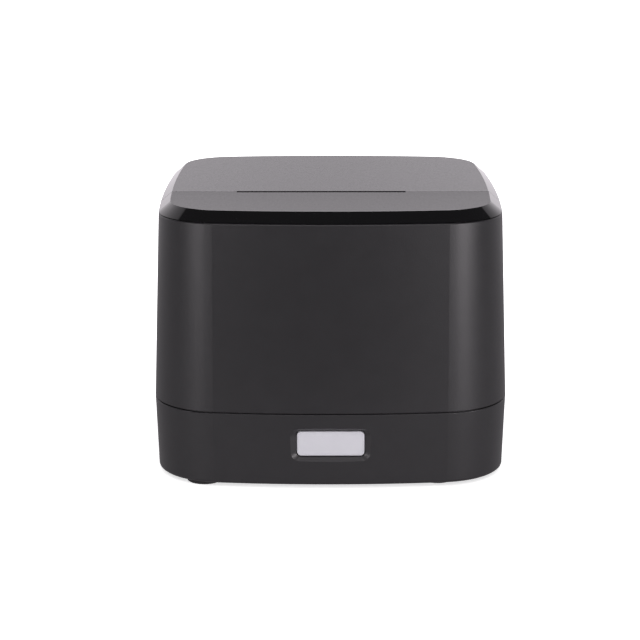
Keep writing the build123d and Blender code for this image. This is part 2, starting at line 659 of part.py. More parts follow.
# Hinge arms reach back from the trough's front to the hinge axis
arm_r = HINGE_PIN_R + 1.4
for side in (-1, 1):
    ends = sorted((side * HINGE_ARM_X, side * (HINGE_ARM_X + HINGE_ARM_T)))
    arm = box(ends[0], ends[1], HINGE_Y - TROUGH_R - 1.2, HINGE_Y, HINGE_Z - 2.6, HINGE_Z + 1.6)
    arm += rod_x(ends[0], ends[1], HINGE_Y, HINGE_Z, arm_r)
    arm -= rod_x(ends[0] - 1, ends[1] + 1, HINGE_Y, HINGE_Z, HINGE_PIN_R)
    bucket += arm
# Screw holes in the deck and the platform, and slots for the flat cables
for x, y in DECK_SCREWS:
    bucket -= rod_z(x, y, DECK_Z - 1, DECK_TOP + 1, DECK_SCREW_R + 0.2)
for sx in (-1, 1):
    bucket -= rod_z(sx * POST_X, POST_Y, PLATFORM_Z - 1, MECH_Z + 1, SCREW_R + 0.2)
slots = [(PAPER_X, FLEX_W), (CABLE_X, CABLE_W)]
for x, w in slots:
    bucket -= box(x - w / 2 - 1.5, x + w / 2 + 1.5, FLEX_Y - 2, FLEX_Y + 2, PLATFORM_Z - 1, MECH_Z + 1)
# Screw bosses of the mechanism's frame on the platform
FRAME_SCREWS = [(PLATE_XL + 6, MECH_Y0 + 5), (PLATE_XR - 6, MECH_Y0 + 5),
                (PLATE_XL + 6, PLATEN_Y - 7), (PLATE_XR - 6, PLATEN_Y - 7)]
for x, y in FRAME_SCREWS:
    bucket += rod_z(x, y, PLATFORM_Z - 5, PLATFORM_Z + 1, 3.0)
    bucket -= rod_z(x, y, PLATFORM_Z - 4, MECH_Z + 1, SCREW_R)
PARTS["paper_bucket"] = bucket

pins = []
for side in (-1, 1):
    ends = sorted((side * (HINGE_ARM_X - EAR_T - 0.9), side * (HINGE_ARM_X + HINGE_ARM_T + 0.4)))
    pin = rod_x(ends[0], ends[1], HINGE_Y, HINGE_Z, HINGE_PIN_R)
    pins.append(chamfer(pin.edges(), 0.3))
PARTS["hinge_pins"] = Compound(children=pins)

screws = [screw((x, y, DECK_TOP), "-z", 8.5, DECK_SCREW_R, 2.3, 1.5) for x, y in DECK_SCREWS]
PARTS["deck_screws"] = Compound(children=screws)

# ---------------------------------------------------------------- mechanism frame
frame_top = CUT_PLATE_Z
cheek_y1 = PLATEN_Y + CHEEK_BACK
frame = box(PLATE_XL, PLATE_XR, MECH_Y0, PLATEN_Y - 3.2, MECH_Z, MECH_Z + PLATE_T)
for ends in ((PLATE_XL, PLATE_XL + PLATE_T), (PLATE_XR - PLATE_T, PLATE_XR)):
    cheek = [(MECH_Y0, MECH_Z), (cheek_y1, MECH_Z), (cheek_y1, PLATEN_Z + 1), (PLATEN_Y + 5.4, PLATEN_Z + 4),
             (PLATEN_Y - 8.6, PLATEN_Z + 4), (PLATEN_Y - 12, frame_top), (MECH_Y0, frame_top)]
    frame += prism_x(cheek, ends[0], ends[1])
cross_z0 = SINK_Z0 + 1.5
frame += box(PLATE_XL, PLATE_XR, CROSS_Y1 - PLATE_T, CROSS_Y1, cross_z0, HEAD_TOP + 3)
notch_r = BUSH_R + 0.3
for ends in ((PLATE_XL - 1, PLATE_XL + PLATE_T + 0.5), (PLATE_XR - PLATE_T - 0.5, PLATE_XR + 1)):
    mouth_pts = [(PLATEN_Y - notch_r, PLATEN_Z), (PLATEN_Y + notch_r, PLATEN_Z),
                 (PLATEN_Y + notch_r + 2, PLATEN_Z + 12), (PLATEN_Y - notch_r - 3, PLATEN_Z + 12)]
    frame -= prism_x(mouth_pts, ends[0], ends[1])
    frame -= rod_x(ends[0], ends[1], PLATEN_Y, PLATEN_Z, notch_r)
    frame -= rod_x(ends[0], ends[1], PIVOT_Y, PIVOT_Z, 1.5 + RUN)
    frame -= rod_x(ends[0], ends[1], CUT_Y, CUT_Z, CUT_SHAFT_R + RUN)
# Feed gear train: platen gear, idler below it, motor pinion below and ahead
idler_a = math.radians(IDLER_DIR)
dist_1 = MODULE * (PLATEN_TEETH + IDLER_TEETH) / 2 + MESH_CLEAR
IDLER_Y = PLATEN_Y + dist_1 * math.cos(idler_a)
IDLER_Z = PLATEN_Z + dist_1 * math.sin(idler_a)
pinion_a = math.radians(PINION_DIR)
dist_2 = MODULE * (IDLER_TEETH + PINION_TEETH) / 2 + MESH_CLEAR
MOTOR_Y = IDLER_Y + dist_2 * math.cos(pinion_a)
MOTOR_Z = IDLER_Z + dist_2 * math.sin(pinion_a)
CUT_MOTOR_R = CUT_MODULE * (CUT_GEAR_TEETH + CUT_PINION_TEETH) / 2 + MESH_CLEAR
cut_a = math.radians(-90)
CUT_MOTOR_Y = CUT_Y + CUT_MOTOR_R * math.cos(cut_a)
CUT_MOTOR_Z = CUT_Z + CUT_MOTOR_R * math.sin(cut_a)
plate_r = (PLATE_XR - PLATE_T - 0.5, PLATE_XR + 1)
frame -= rod_x(plate_r[0], plate_r[1], MOTOR_Y, MOTOR_Z, 5.1)
frame -= rod_x(plate_r[0], plate_r[1], IDLER_Y, IDLER_Z, STUD_R)
frame -= rod_x(plate_r[0], plate_r[1], CUT_MOTOR_Y, CUT_MOTOR_Z, 3.5)
MOTOR_SCREWS = [(MOTOR_Y - MOTOR_R - 1.5, MOTOR_Z + 8), (MOTOR_Y - MOTOR_R - 1.5, MOTOR_Z - 8)]
for y, z in MOTOR_SCREWS:
    frame -= rod_x(plate_r[0], plate_r[1], y, z, SCREW_R)
for x, y in FRAME_SCREWS:
    frame -= rod_z(x, y, MECH_Z - 1, MECH_Z + PLATE_T + 1, SCREW_R + 0.2)
for x, w in slots:
    frame -= box(x - w / 2 - 1.5, x + w / 2 + 1.5, FLEX_Y - 2, FLEX_Y + 2, MECH_Z - 1, MECH_Z + 3)
# Tabs under the cutter plate
tab_w = 15.0
CUT_SCREWS = []
for ends in ((PLATE_XL + PLATE_T - 0.2, PLATE_XL + PLATE_T + tab_w),
             (PLATE_XR - PLATE_T - tab_w, PLATE_XR - PLATE_T + 0.2)):
    for y in (MECH_Y0 + 3.5, CUT_Y + 13):
        frame += box(ends[0], ends[1], y - 3.5, y + 3.5, frame_top - PLATE_T, frame_top)
        inner = ends[1] - 3.5 if ends[0] < 0 else ends[0] + 3.5
        CUT_SCREWS.append((inner, y))
for x, y in CUT_SCREWS:
    frame -= rod_z(x, y, frame_top - 4, frame_top + 1, SCREW_R)
PARTS["printer_frame"] = frame

screws = [screw((x, y, MECH_Z + PLATE_T), "-z", PLATE_T + 5.5) for x, y in FRAME_SCREWS]
screws += [screw((sx * POST_X, POST_Y, MECH_Z), "-z", 10.0) for sx in (-1, 1)]
screws += [screw((x, y, CUT_PLATE_Z + CUT_PLATE_T), "-z", 5.0, SCREW_R, HEAD_R, 1.4) for x, y in CUT_SCREWS]
PARTS["frame_screws"] = Compound(children=screws)

stud = rod_x(PLATE_XR - PLATE_T, GEAR_X1 + 1.2, IDLER_Y, IDLER_Z, STUD_R)
stud += rod_x(GEAR_X1 + 0.3, GEAR_X1 + 1.0, IDLER_Y, IDLER_Z, 3.6)
stud += rod_x(PLATE_XR, GEAR_X0 - 0.3, IDLER_Y, IDLER_Z, 3.2)
PARTS["idler_stud"] = stud

motor_x1 = PLATE_XR - PLATE_T
motor = rod_x(motor_x1 - MOTOR_L, motor_x1, MOTOR_Y, MOTOR_Z, MOTOR_R)
motor = fillet(motor.edges(), 0.8)
ear_y = MOTOR_Y - MOTOR_R - 5
ear_pts = [(ear_y, MOTOR_Z - 11.5), (MOTOR_Y - 7, MOTOR_Z - 11.9), (MOTOR_Y - 7, MOTOR_Z + 11.9),
           (ear_y, MOTOR_Z + 11.5)]
motor += prism_x(ear_pts, motor_x1 - 1.0, motor_x1)
motor += rod_x(motor_x1 - 0.5, PLATE_XR, MOTOR_Y, MOTOR_Z, 5.0)
motor -= rod_x(motor_x1 - 6, PLATE_XR + 1, MOTOR_Y, MOTOR_Z, 1.0 + RUN)
for y, z in MOTOR_SCREWS:
    motor -= rod_x(motor_x1 - 2, motor_x1 + 1, y, z, SCREW_R)
PARTS["feed_motor"] = motor
screws = [screw((motor_x1 - 1.0, y, z), "+x", 3.0, SCREW_R, HEAD_R, 1.4) for y, z in MOTOR_SCREWS]
PARTS["motor_screws"] = Compound(children=screws)

# ---------------------------------------------------------------- feed gears and platen
idler_phase = idler_a + math.pi
platen_phase = mesh_phase(IDLER_TEETH, idler_phase, PLATEN_TEETH, idler_a + math.pi)
pinion_phase = mesh_phase(IDLER_TEETH, idler_phase, PINION_TEETH, pinion_a)
shaft_x0 = PAPER_X - PLATE_OUT - 5.4
shaft_x1 = GEAR_X1 + 1.0
shaft = rod_x(shaft_x0, shaft_x1, PLATEN_Y, PLATEN_Z, SHAFT_R)
PARTS["platen_shaft"] = chamfer(shaft.edges().filter_by(GeomType.CIRCLE), 0.4)
half_roller = PAPER_W / 2 + ROLLER_END
roller = rod_x(PAPER_X - half_roller, PAPER_X + half_roller, PLATEN_Y, PLATEN_Z, PLATEN_R)
roller -= rod_x(PAPER_X - half_roller - 1, PAPER_X + half_roller + 1, PLATEN_Y, PLATEN_Z, SHAFT_R)
PARTS["platen_roller"] = roller
PARTS["platen_gear"] = gear(PLATEN_TEETH, MODULE, PLATEN_Y, PLATEN_Z, platen_phase,
                            GEAR_X0, GEAR_X1, SHAFT_R)
idler = gear(IDLER_TEETH, MODULE, IDLER_Y, IDLER_Z, idler_phase, GEAR_X0, GEAR_X1, STUD_R + RUN)
web_r = (STUD_R + 1.8, MODULE * IDLER_TEETH / 2 - 2.4)
for ends in ((GEAR_X0 - 1, GEAR_X0 + 1.3), (GEAR_X1 - 1.3, GEAR_X1 + 1)):
    ring = rod_x(ends[0], ends[1], IDLER_Y, IDLER_Z, web_r[1])
    ring -= rod_x(ends[0], ends[1], IDLER_Y, IDLER_Z, web_r[0])
    idler -= ring
PARTS["idler_gear"] = idler
pinion = gear(PINION_TEETH, MODULE, MOTOR_Y, MOTOR_Z, pinion_phase, GEAR_X0, GEAR_X1, 0)
pinion += rod_x(motor_x1 - 5.5, GEAR_X0 + 1, MOTOR_Y, MOTOR_Z, 1.0)
PARTS["feed_pinion"] = pinion

bushes = []
for side in (-1, 1):
    ends = sorted((PAPER_X + side * ARM_IN, PAPER_X + side * (PLATE_OUT + 0.7)))
    bush = rod_x(ends[0], ends[1], PLATEN_Y, PLATEN_Z, BUSH_R)
    bushes.append(bush - rod_x(ends[0] - 1, ends[1] + 1, PLATEN_Y, PLATEN_Z, SHAFT_R + RUN))
PARTS["platen_bushes"] = Compound(children=bushes)

# ---------------------------------------------------------------- print head
head_half = PAPER_W / 2 + 0.4
sink = box(PAPER_X - head_half, PAPER_X + head_half, SINK_Y0, SINK_Y0 + HEAD_SINK_T, SINK_Z0, HEAD_TOP)
sink = chamfer(sink.edges().filter_by(Axis.X).group_by(Axis.Z)[-1].sort_by(Axis.Y)[0], 1.2)
for k in range(HEAD_FINS):
    z = SINK_Z0 + 3.6 + k * 2.6
    sink -= box(PAPER_X - head_half + 12, PAPER_X + head_half - 12, SINK_Y0 - 1, SINK_Y0 + 1.0, z, z + 1.2)
for side in (-1, 1):
    ends = sorted((PAPER_X + side * (head_half - 1), PAPER_X + side * (PLATE_OUT + 0.3)))
    sink += rod_x(ends[0], ends[1], PIVOT_Y, PIVOT_Z, 1.5)
PARTS["head_sink"] = sink
ceramic = box(PAPER_X - head_half, PAPER_X + head_half, HEAD_Y - HEAD_CER_T, HEAD_Y,
              HEAD_TOP - CER_TALL, HEAD_TOP)
ceramic = chamfer(ceramic.edges().filter_by(Axis.X).group_by(Axis.Z)[-1].sort_by(Axis.Y)[-1], 0.25)
PARTS["head_ceramic"] = ceramic

springs = []
for side in (-1, 1):
    free = SINK_Y0 - CROSS_Y1 - 2 * SPRING_WIRE - 0.1
    path = Helix(pitch=free / 5, height=free, radius=SPRING_R)
    start = path @ 0
    profile = Plane(origin=start, z_dir=path % 0) * Circle(SPRING_WIRE)
    coil = sweep(profile, path=path)
    x = PAPER_X + side * SPRING_X
    springs.append(Pos(x, SINK_Y0 - SPRING_WIRE - 0.05, SPRING_Z) * Rot(90, 0, 0) * coil)
PARTS["head_springs"] = Compound(children=springs)

# ---------------------------------------------------------------- cutter
plate_y0 = MECH_Y0
plate_y1 = CUT_Y + 20.5
cut_plate = box(PLATE_XL, PLATE_XR, plate_y0, plate_y1, CUT_PLATE_Z, CUT_PLATE_Z + CUT_PLATE_T)
rack_off = PAPER_W / 2 - RACK_W / 2
for side in (-1, 1):
    x = PAPER_X + side * rack_off
    w = RACK_W / 2 + 1.0
    cut_plate -= box(x - w, x + w, CUT_Y - 7, CUT_Y + 7, CUT_PLATE_Z - 1, CUT_PLATE_Z + 5)
    rail = box(x - side * 14 - 1.2, x - side * 14 + 1.2, plate_y0, plate_y1, CUT_PLATE_Z + CUT_PLATE_T,
               BLADE_Z - 0.05)
    cut_plate += rail
for x, y in CUT_SCREWS:
    cut_plate -= rod_z(x, y, CUT_PLATE_Z - 1, CUT_PLATE_Z + CUT_PLATE_T + 1, SCREW_R + 0.2)
PARTS["cutter_plate"] = cut_plate

blade_half = PAPER_W / 2
mid_x = PAPER_X
blade_pts = [(mid_x - blade_half, TIP_Y - BLADE_D), (mid_x - blade_half, TIP_Y),
             (mid_x - blade_half + 3, TIP_Y), (mid_x, TIP_Y - BLADE_V),
             (mid_x + blade_half - 3, TIP_Y), (mid_x + blade_half, TIP_Y),
             (mid_x + blade_half, TIP_Y - BLADE_D)]
blade = prism_z(blade_pts, BLADE_Z, BLADE_Z + BLADE_T)
for k in (-1, 1):
    blade -= box(mid_x + k * 15 - 6, mid_x + k * 15 + 6, TIP_Y - BLADE_D + 4, TIP_Y - 13, BLADE_Z - 1,
                 BLADE_Z + 2)
PARTS["cutter_blade"] = blade

rack_pitch = math.pi * RACK_MODULE
tan20 = math.tan(math.radians(20))
add = 0.9 * RACK_MODULE
ded = 1.2 * RACK_MODULE
flat = rack_pitch / 4 - 0.05
rack_y0 = CUT_Y - STROKE - 3.5
rack_y1 = CUT_Y + 3.5
rack_pts = [(rack_y0, BLADE_Z), (rack_y0, RACK_Z + ded)]
first = math.ceil((rack_y0 - CUT_Y) / rack_pitch + 0.1)
k = first
while True:
    mid = CUT_Y + (k + 0.5) * rack_pitch
    if mid + flat + ded * tan20 > rack_y1:
        break
    rack_pts += [(mid - flat - ded * tan20, RACK_Z + ded), (mid - flat + add * tan20, RACK_Z - add),
                 (mid + flat - add * tan20, RACK_Z - add), (mid + flat + ded * tan20, RACK_Z + ded)]
    k += 1
rack_pts += [(rack_y1, RACK_Z + ded), (rack_y1, BLADE_Z)]
racks = []
for side in (-1, 1):
    x = PAPER_X + side * rack_off
    racks.append(prism_x(rack_pts, x - RACK_W / 2, x + RACK_W / 2))
PARTS["cutter_racks"] = Compound(children=racks)

cut_phase = math.pi / 2
cut_x0 = PAPER_X - PLATE_OUT - 0.5
cut_shaft = rod_x(cut_x0, GEAR_X1 + 0.6, CUT_Y, CUT_Z, CUT_SHAFT_R)
PARTS["cutter_shaft"] = chamfer(cut_shaft.edges().filter_by(GeomType.CIRCLE), 0.3)
wheels = []
for side in (-1, 1):
    x = PAPER_X + side * rack_off
    wheels.append(gear(RACK_TEETH, RACK_MODULE, CUT_Y, CUT_Z, cut_phase, x - RACK_W / 2, x + RACK_W / 2,
                       CUT_SHAFT_R))
wheels.append(gear(CUT_GEAR_TEETH, CUT_MODULE, CUT_Y, CUT_Z, cut_phase, GEAR_X0, GEAR_X1 - 1, CUT_SHAFT_R))
PARTS["cutter_gears"] = Compound(children=wheels)
cut_pinion_phase = mesh_phase(CUT_GEAR_TEETH, cut_phase, CUT_PINION_TEETH, cut_a)
cut_pinion = gear(CUT_PINION_TEETH, CUT_MODULE, CUT_MOTOR_Y, CUT_MOTOR_Z, cut_pinion_phase, GEAR_X0,
                  GEAR_X1 - 1, 0)
cut_pinion += rod_x(motor_x1 - 5, GEAR_X0 + 1, CUT_MOTOR_Y, CUT_MOTOR_Z, 0.75)
PARTS["cutter_pinion"] = cut_pinion
cm = CUT_MOTOR / 2
cut_motor = box(motor_x1 - CUT_MOTOR_L, motor_x1, CUT_MOTOR_Y - cm, CUT_MOTOR_Y + cm,
                CUT_MOTOR_Z - cm, CUT_MOTOR_Z + cm)
cut_motor = fillet(cut_motor.edges().filter_by(Axis.X), 1.5)
cut_motor += rod_x(motor_x1 - 0.5, PLATE_XR, CUT_MOTOR_Y, CUT_MOTOR_Z, 3.4)
cut_motor -= rod_x(motor_x1 - 6, PLATE_XR + 1, CUT_MOTOR_Y, CUT_MOTOR_Z, 0.75 + RUN)
PARTS["cutter_motor"] = cut_motor

# ---------------------------------------------------------------- lid
lid = cap_shell(LID_EDGE, CASE_D)
rear = block(upper_in(Z_UP_TOP) + CAP_STEP, HINGE_Z - SWEEP_R, Z_CAP + 1)
rear -= block(upper_in(Z_UP_TOP) + CAP_STEP + 2.2, HINGE_Z - SWEEP_R - 1, Z_CAP + 2)
rear &= rod_x(-NOTCH_X + 0.4, NOTCH_X - 0.4, HINGE_Y, HINGE_Z, SWEEP_R)
rear &= box(-CASE_W, CASE_W, HINGE_Y + 0.6, CASE_D, 0, Z_CAP + 1)
lid += rear
lid -= box(SLOT_X0, SLOT_X1, LID_EDGE - 1, LID_EDGE + SLOT_REAR, Z_CAP - 1, Z_TOP + 1)
PARTS["lid_cover"] = lid

liner_y0 = LID_EDGE + LIP_T + 1.2
liner = block(LINER_IN, LINER_Z, LINER_Z + LINER_T)
liner &= box(-CASE_W, CASE_W, liner_y0, CASE_D, 0, Z_TOP)
rim = block(LINER_IN, LINER_Z, Z_PLATE) - block(LINER_IN + 1.6, LINER_Z - 1, Z_PLATE + 1)
rim &= box(-CASE_W, CASE_W, liner_y0, CASE_D, 0, Z_TOP)
liner += rim
blade_seat = FIXED_Z + FIXED_T
liner += box(PAPER_X - ARM_IN, PAPER_X + ARM_IN, liner_y0, PLATEN_Y + 9, blade_seat, LINER_Z + 1)
for side in (-1, 1):
    ends = sorted((PAPER_X + side * ARM_IN, PAPER_X + side * ARM_OUT))
    leg = box(ends[0], ends[1], PLATEN_Y - 5.6, PLATEN_Y + 7.0, PLATEN_Z, LINER_Z + 1)
    leg += rod_x(ends[0], ends[1], PLATEN_Y, PLATEN_Z, BUSH_R + 1.1)
    leg -= rod_x(ends[0] - 1, ends[1] + 1, PLATEN_Y, PLATEN_Z, BUSH_R)
    liner += leg
    ends = sorted((side * (HINGE_ARM_X - 0.5), side * (HINGE_ARM_X - 0.5 - EAR_T)))
    ear = box(ends[0], ends[1], HINGE_Y - 4, HINGE_Y + 3.4, HINGE_Z, LINER_Z + 1)
    ear += rod_x(ends[0], ends[1], HINGE_Y, HINGE_Z, 4.0)
    liner += ear
    liner -= rod_x(ends[0] - 1, ends[1] + 1, HINGE_Y, HINGE_Z, HINGE_PIN_R + RUN)
    ends = sorted((side * (HINGE_ARM_X - 0.5), side * (HINGE_ARM_X + HINGE_ARM_T + 0.8)))
    liner -= box(ends[0], ends[1], HINGE_Y - 5, CASE_D, LINER_Z - 3, LINER_Z + LINER_T - 0.5)
# Posts for the liner's screws, up to the cover
LINER_SCREWS = []
for y in (PLATEN_Y + LINER_SCREW_FRONT, HINGE_Y - LINER_SCREW_REAR):
    LINER_SCREWS += [(LINER_SCREW_IN - CASE_W / 2, y), (CASE_W / 2 - LINER_SCREW_IN, y)]
for x, y in LINER_SCREWS:
    liner += rod_z(x, y, LINER_Z, Z_PLATE, LINER_POST_R)
    liner -= rod_z(x, y, LINER_Z - 1, Z_PLATE + 1, DECK_SCREW_R)
    liner -= rod_z(x, y, LINER_Z - 1, LINER_Z + 1.6, 2.5)
PARTS["lid_liner"] = liner
screws = [screw((x, y, LINER_Z + 1.6), "+z", Z_PLATE - LINER_Z - 1.6, DECK_SCREW_R, 2.3, 1.5)
          for x, y in LINER_SCREWS]
PARTS["liner_screws"] = Compound(children=screws)

fixed_half = ARM_IN - FIXED_SIDE
fixed = box(PAPER_X - fixed_half, PAPER_X + fixed_half, FIXED_Y, FIXED_Y + FIXED_D, FIXED_Z, blade_seat)
fixed = chamfer(fixed.edges().filter_by(Axis.X).group_by(Axis.Z)[-1].sort_by(Axis.Y)[0], FIXED_T * 0.6)
blade_screw_x = PAPER_W / 2 - BLADE_SCREW_IN
BLADE_SCREWS = [(PAPER_X + side * blade_screw_x, FIXED_Y + BLADE_SCREW_BACK) for side in (-1, 1)]
for x, y in BLADE_SCREWS:
    fixed -= rod_z(x, y, FIXED_Z - 1, blade_seat + 1, DECK_SCREW_R + 0.1)
    PARTS["lid_liner"] -= rod_z(x, y, blade_seat - 1, LINER_Z + LINER_T - 0.6, DECK_SCREW_R)
PARTS["fixed_blade"] = fixed
screws = [screw((x, y, FIXED_Z), "+z", 3.6, DECK_SCREW_R, 2.3, 1.2) for x, y in BLADE_SCREWS]
PARTS["blade_screws"] = Compound(children=screws)

# ---------------------------------------------------------------- latch and release slider
latch_x0 = shaft_x0 - 3.6
latch_x1 = PLATE_XL - 0.9
latch_y = PLATEN_Y - SHAFT_R - 0.5
latch_z0 = PLATEN_Z - LATCH_L
latch_top = PLATEN_Z + SHAFT_R + 0.3
leaf = box(latch_x0, latch_x1 - 2.2, latch_y - LATCH_T, latch_y, latch_z0, latch_top + LATCH_T)
leaf += box(shaft_x0 + 0.3, latch_x1 - 2.2, latch_y - LATCH_T, latch_y + 3.2, latch_top, latch_top + LATCH_T)
foot_tab = box(latch_x0, PLATE_XL, latch_y - LATCH_T, latch_y, latch_z0 - LATCH_FOOT, latch_z0 + 0.5)
leaf += foot_tab
leaf += box(PLATE_XL - LATCH_T, PLATE_XL, latch_y - LATCH_T, latch_y + LATCH_LUG,
            latch_z0 - LATCH_FOOT, latch_z0 + 0.5)
PARTS["latch_spring"] = leaf

sy0 = PLATEN_Y - SLIDER_L / 2
sy1 = PLATEN_Y + SLIDER_L / 2
sz0 = SLIDER_Z - SLIDER_H / 2
sz1 = SLIDER_Z + SLIDER_H / 2
thumb = box(-CASE_W / 2, wall_x + 0.6, sy0, sy1, sz0, sz1)
thumb &= block(0.35, Z_UP, Z_UP_TOP, UP_SLOPE)
for k in range(5):
    y = PLATEN_Y + (k - 2) * 2.6
    thumb -= box(-CASE_W / 2, wall_x - WALL + 0.25 + 0.9, y - 0.5, y + 0.5, sz0 + 1, sz1 - 1)
flange_x = FIT - side_x(upper_in(sz1 + 2.0) + WALL, sy0 - 2.5 - SLIDER_TRAVEL)
slider = thumb + box(flange_x, flange_x + 1.6, sy0 - 2.5, sy1 + SLIDER_TRAVEL + 1.2, sz0 - 2.0, sz1 + 2.0)
finger_y = latch_y + 0.3
slider += box(flange_x + 0.5, latch_x0 + 0.9, finger_y, finger_y + 2.2, SLIDER_Z - 2.5, SLIDER_Z + 2.5)
slider += box(latch_x0 - 3, latch_x0 + 2.4, finger_y, finger_y + 2.2, SLIDER_Z - 2.5, SLIDER_Z + 2.5)
PARTS["release_slider"] = slider

# ---------------------------------------------------------------- sensors
sensor = box(PAPER_X - 4, PAPER_X + 4, BUCKET_Y0 - 1.9, BUCKET_Y0 - 0.1, LIP_Z, LIP_Z + 3.2)
sensor += box(PAPER_X - 2.2, PAPER_X + 2.2, BUCKET_Y0 - 1.9, BUCKET_Y0 - 0.1, LIP_Z, LIP_Z + 4.4)
PARTS["paper_sensor"] = sensor
cover_x = COVER_SWITCH_IN - CASE_W / 2
cover_y = PLATEN_Y + COVER_SWITCH_BACK
switch = box(cover_x - 3, cover_x + 3, cover_y - 6, cover_y + 6, DECK_TOP, DECK_TOP + 1.9)
switch += box(cover_x - 0.6, cover_x + 0.6, cover_y - 5, cover_y + 3, DECK_TOP + 1.5, DECK_TOP + 2.5)
PARTS["cover_switch"] = switch

# ---------------------------------------------------------------- main board and its parts
board = box(-BOARD_X, BOARD_X, BOARD_Y0, BOARD_Y1, BOARD_Z, BOARD_TOP)
for x, y in BOARD_SCREWS:
    board -= rod_z(x, y, BOARD_Z - 1, BOARD_TOP + 1, DECK_SCREW_R + 0.2)
PARTS["main_board"] = board
screws = [screw((x, y, BOARD_TOP), "-z", BOARD_LIFT + BOARD_T - 1.2, DECK_SCREW_R, 2.3, 1.5)
          for x, y in BOARD_SCREWS]
PARTS["board_screws"] = Compound(children=screws)
left = -BOARD_X
right = BOARD_X
CHIPS = [(-18, 6, 14, 14, 1.4), (8, 2, 10, 10, 1.2), (8, 18, 12, 8, 1.2), (left + 20, 2, 8, 6, 1.6),
         (right - 30, -8, 12, 9, 2.4), (-18, 28, 7, 5, 1.4), (right - 32, 24, 9, 9, 3.0),
         (left + 22, 20, 9, 6, 1.6)]
chips = [upright(x, y, w, d, BOARD_TOP, BOARD_TOP + h) for x, y, w, d, h in CHIPS]
PARTS["board_chips"] = Compound(children=chips)
CAPS = [(left + 16, 38, 5, 16), (left + 28, 40, 4, 12), (right - 16, 8, 5, 16), (right - 16, -6, 4, 12),
        (right - 18, 34, 3.2, 10), (8, 38, 3.2, 8)]
caps = []
for x, y, r, h in CAPS:
    can = rod_z(x, y, BOARD_TOP, BOARD_TOP + h, r)
    caps.append(fillet(can.edges().group_by(Axis.Z)[-1], 0.5))
PARTS["board_capacitors"] = Compound(children=caps)
HEADERS = [(PAPER_X, FLEX_Y, FLEX_W + 4, 5, 5), (CABLE_X, FLEX_Y, CABLE_W + 3, 5, 5),
           (left + 10, -12, 5, 10, 6), (right - 8, 18, 5, 12, 6)]
headers = []
for x, y, w, d, h in HEADERS:
    shell = upright(x, y, w, d, BOARD_TOP, BOARD_TOP + h)
    shell -= upright(x, y, w - 2, d - 2, BOARD_TOP + 1.2, BOARD_TOP + h + 1)
    headers.append(shell)
PARTS["board_headers"] = Compound(children=headers)
ribbon_z = BOARD_TOP + 1.2
flex = box(PAPER_X - FLEX_W / 2, PAPER_X + FLEX_W / 2, FLEX_Y - 0.2, FLEX_Y + 0.2, ribbon_z, SINK_Z0 - 4.5)
flex += box(PAPER_X - FLEX_W / 2 - 1, PAPER_X + FLEX_W / 2 + 1, FLEX_Y - 1.2, FLEX_Y + 1.2, SINK_Z0 - 7.5,
            SINK_Z0 - 2.0)
PARTS["head_flex"] = flex
cable_top = MOTOR_Z - math.sqrt(MOTOR_R ** 2 - (FLEX_Y - MOTOR_Y) ** 2) - 1.2
PARTS["motor_cable"] = box(CABLE_X - CABLE_W / 2, CABLE_X + CABLE_W / 2, FLEX_Y - 0.4, FLEX_Y + 0.4,
                           ribbon_z, min(cable_top, MOTOR_Z - MOTOR_R - 0.3))
buzzer_top = BOARD_TOP + 6
buzzer = rod_z(left + 34, BOARD_Y0 + 22, BOARD_TOP, buzzer_top, 6)
PARTS["buzzer"] = buzzer - rod_z(left + 34, BOARD_Y0 + 22, buzzer_top - 1, buzzer_top + 1, 1)

# ---------------------------------------------------------------- rear sockets and panel
def socket_body(x, w, h, deep, z0):
    return box(x - w / 2, x + w / 2, SOCKET_OUT - deep, SOCKET_OUT, z0, z0 + h)


inlet = socket_body(INLET_X, INLET_W, INLET_H, 16, BOARD_TOP)
inlet_z = BOARD_TOP + 7.5
inlet -= rod_y(INLET_X, SOCKET_OUT - 11, SOCKET_OUT + 1, inlet_z, INLET_HOLE_R)
for k in range(3):
    a = math.radians(90 + 120 * k)
    pin_x = INLET_X + 2.6 * math.cos(a)
    inlet += rod_y(pin_x, SOCKET_OUT - 11.5, SOCKET_OUT - 6, inlet_z + 2.6 * math.sin(a), 0.6)
PARTS["power_inlet"] = inlet
usb = socket_body(USB_X, USB_W, USB_H, 16, BOARD_TOP)
usb -= Pos(0, 0.5, 0) * socket_body(USB_X, USB_W - 3.4, USB_H - 3.0, 9, BOARD_TOP + 1.5)
usb += socket_body(USB_X, 5.6, 3.2, 11, BOARD_TOP + 3.8) - socket_body(USB_X, 8, 8, 4.6, BOARD_TOP + 2)
PARTS["usb_socket"] = usb
lan = socket_body(LAN_X, LAN_W, LAN_H, 18, BOARD_TOP)
lan -= Pos(0, 0.5, 0) * socket_body(LAN_X, LAN_W - 4.2, LAN_H - 5.6, 12.5, BOARD_TOP + 3.4)
lan -= Pos(0, 0.5, 0) * socket_body(LAN_X, 6.2, 3.2, 12.5, BOARD_TOP + 1.2)
PARTS["lan_socket"] = lan
drawer = socket_body(DRAWER_X, DRAWER_W, DRAWER_H, 16, BOARD_TOP)
drawer -= Pos(0, 0.5, 0) * socket_body(DRAWER_X, DRAWER_W - 4.2, DRAWER_H - 5.8, 11.5, BOARD_TOP + 3.4)
drawer -= Pos(0, 0.5, 0) * socket_body(DRAWER_X, 5.2, 3.2, 11.5, BOARD_TOP + 1.2)
PARTS["drawer_socket"] = drawer

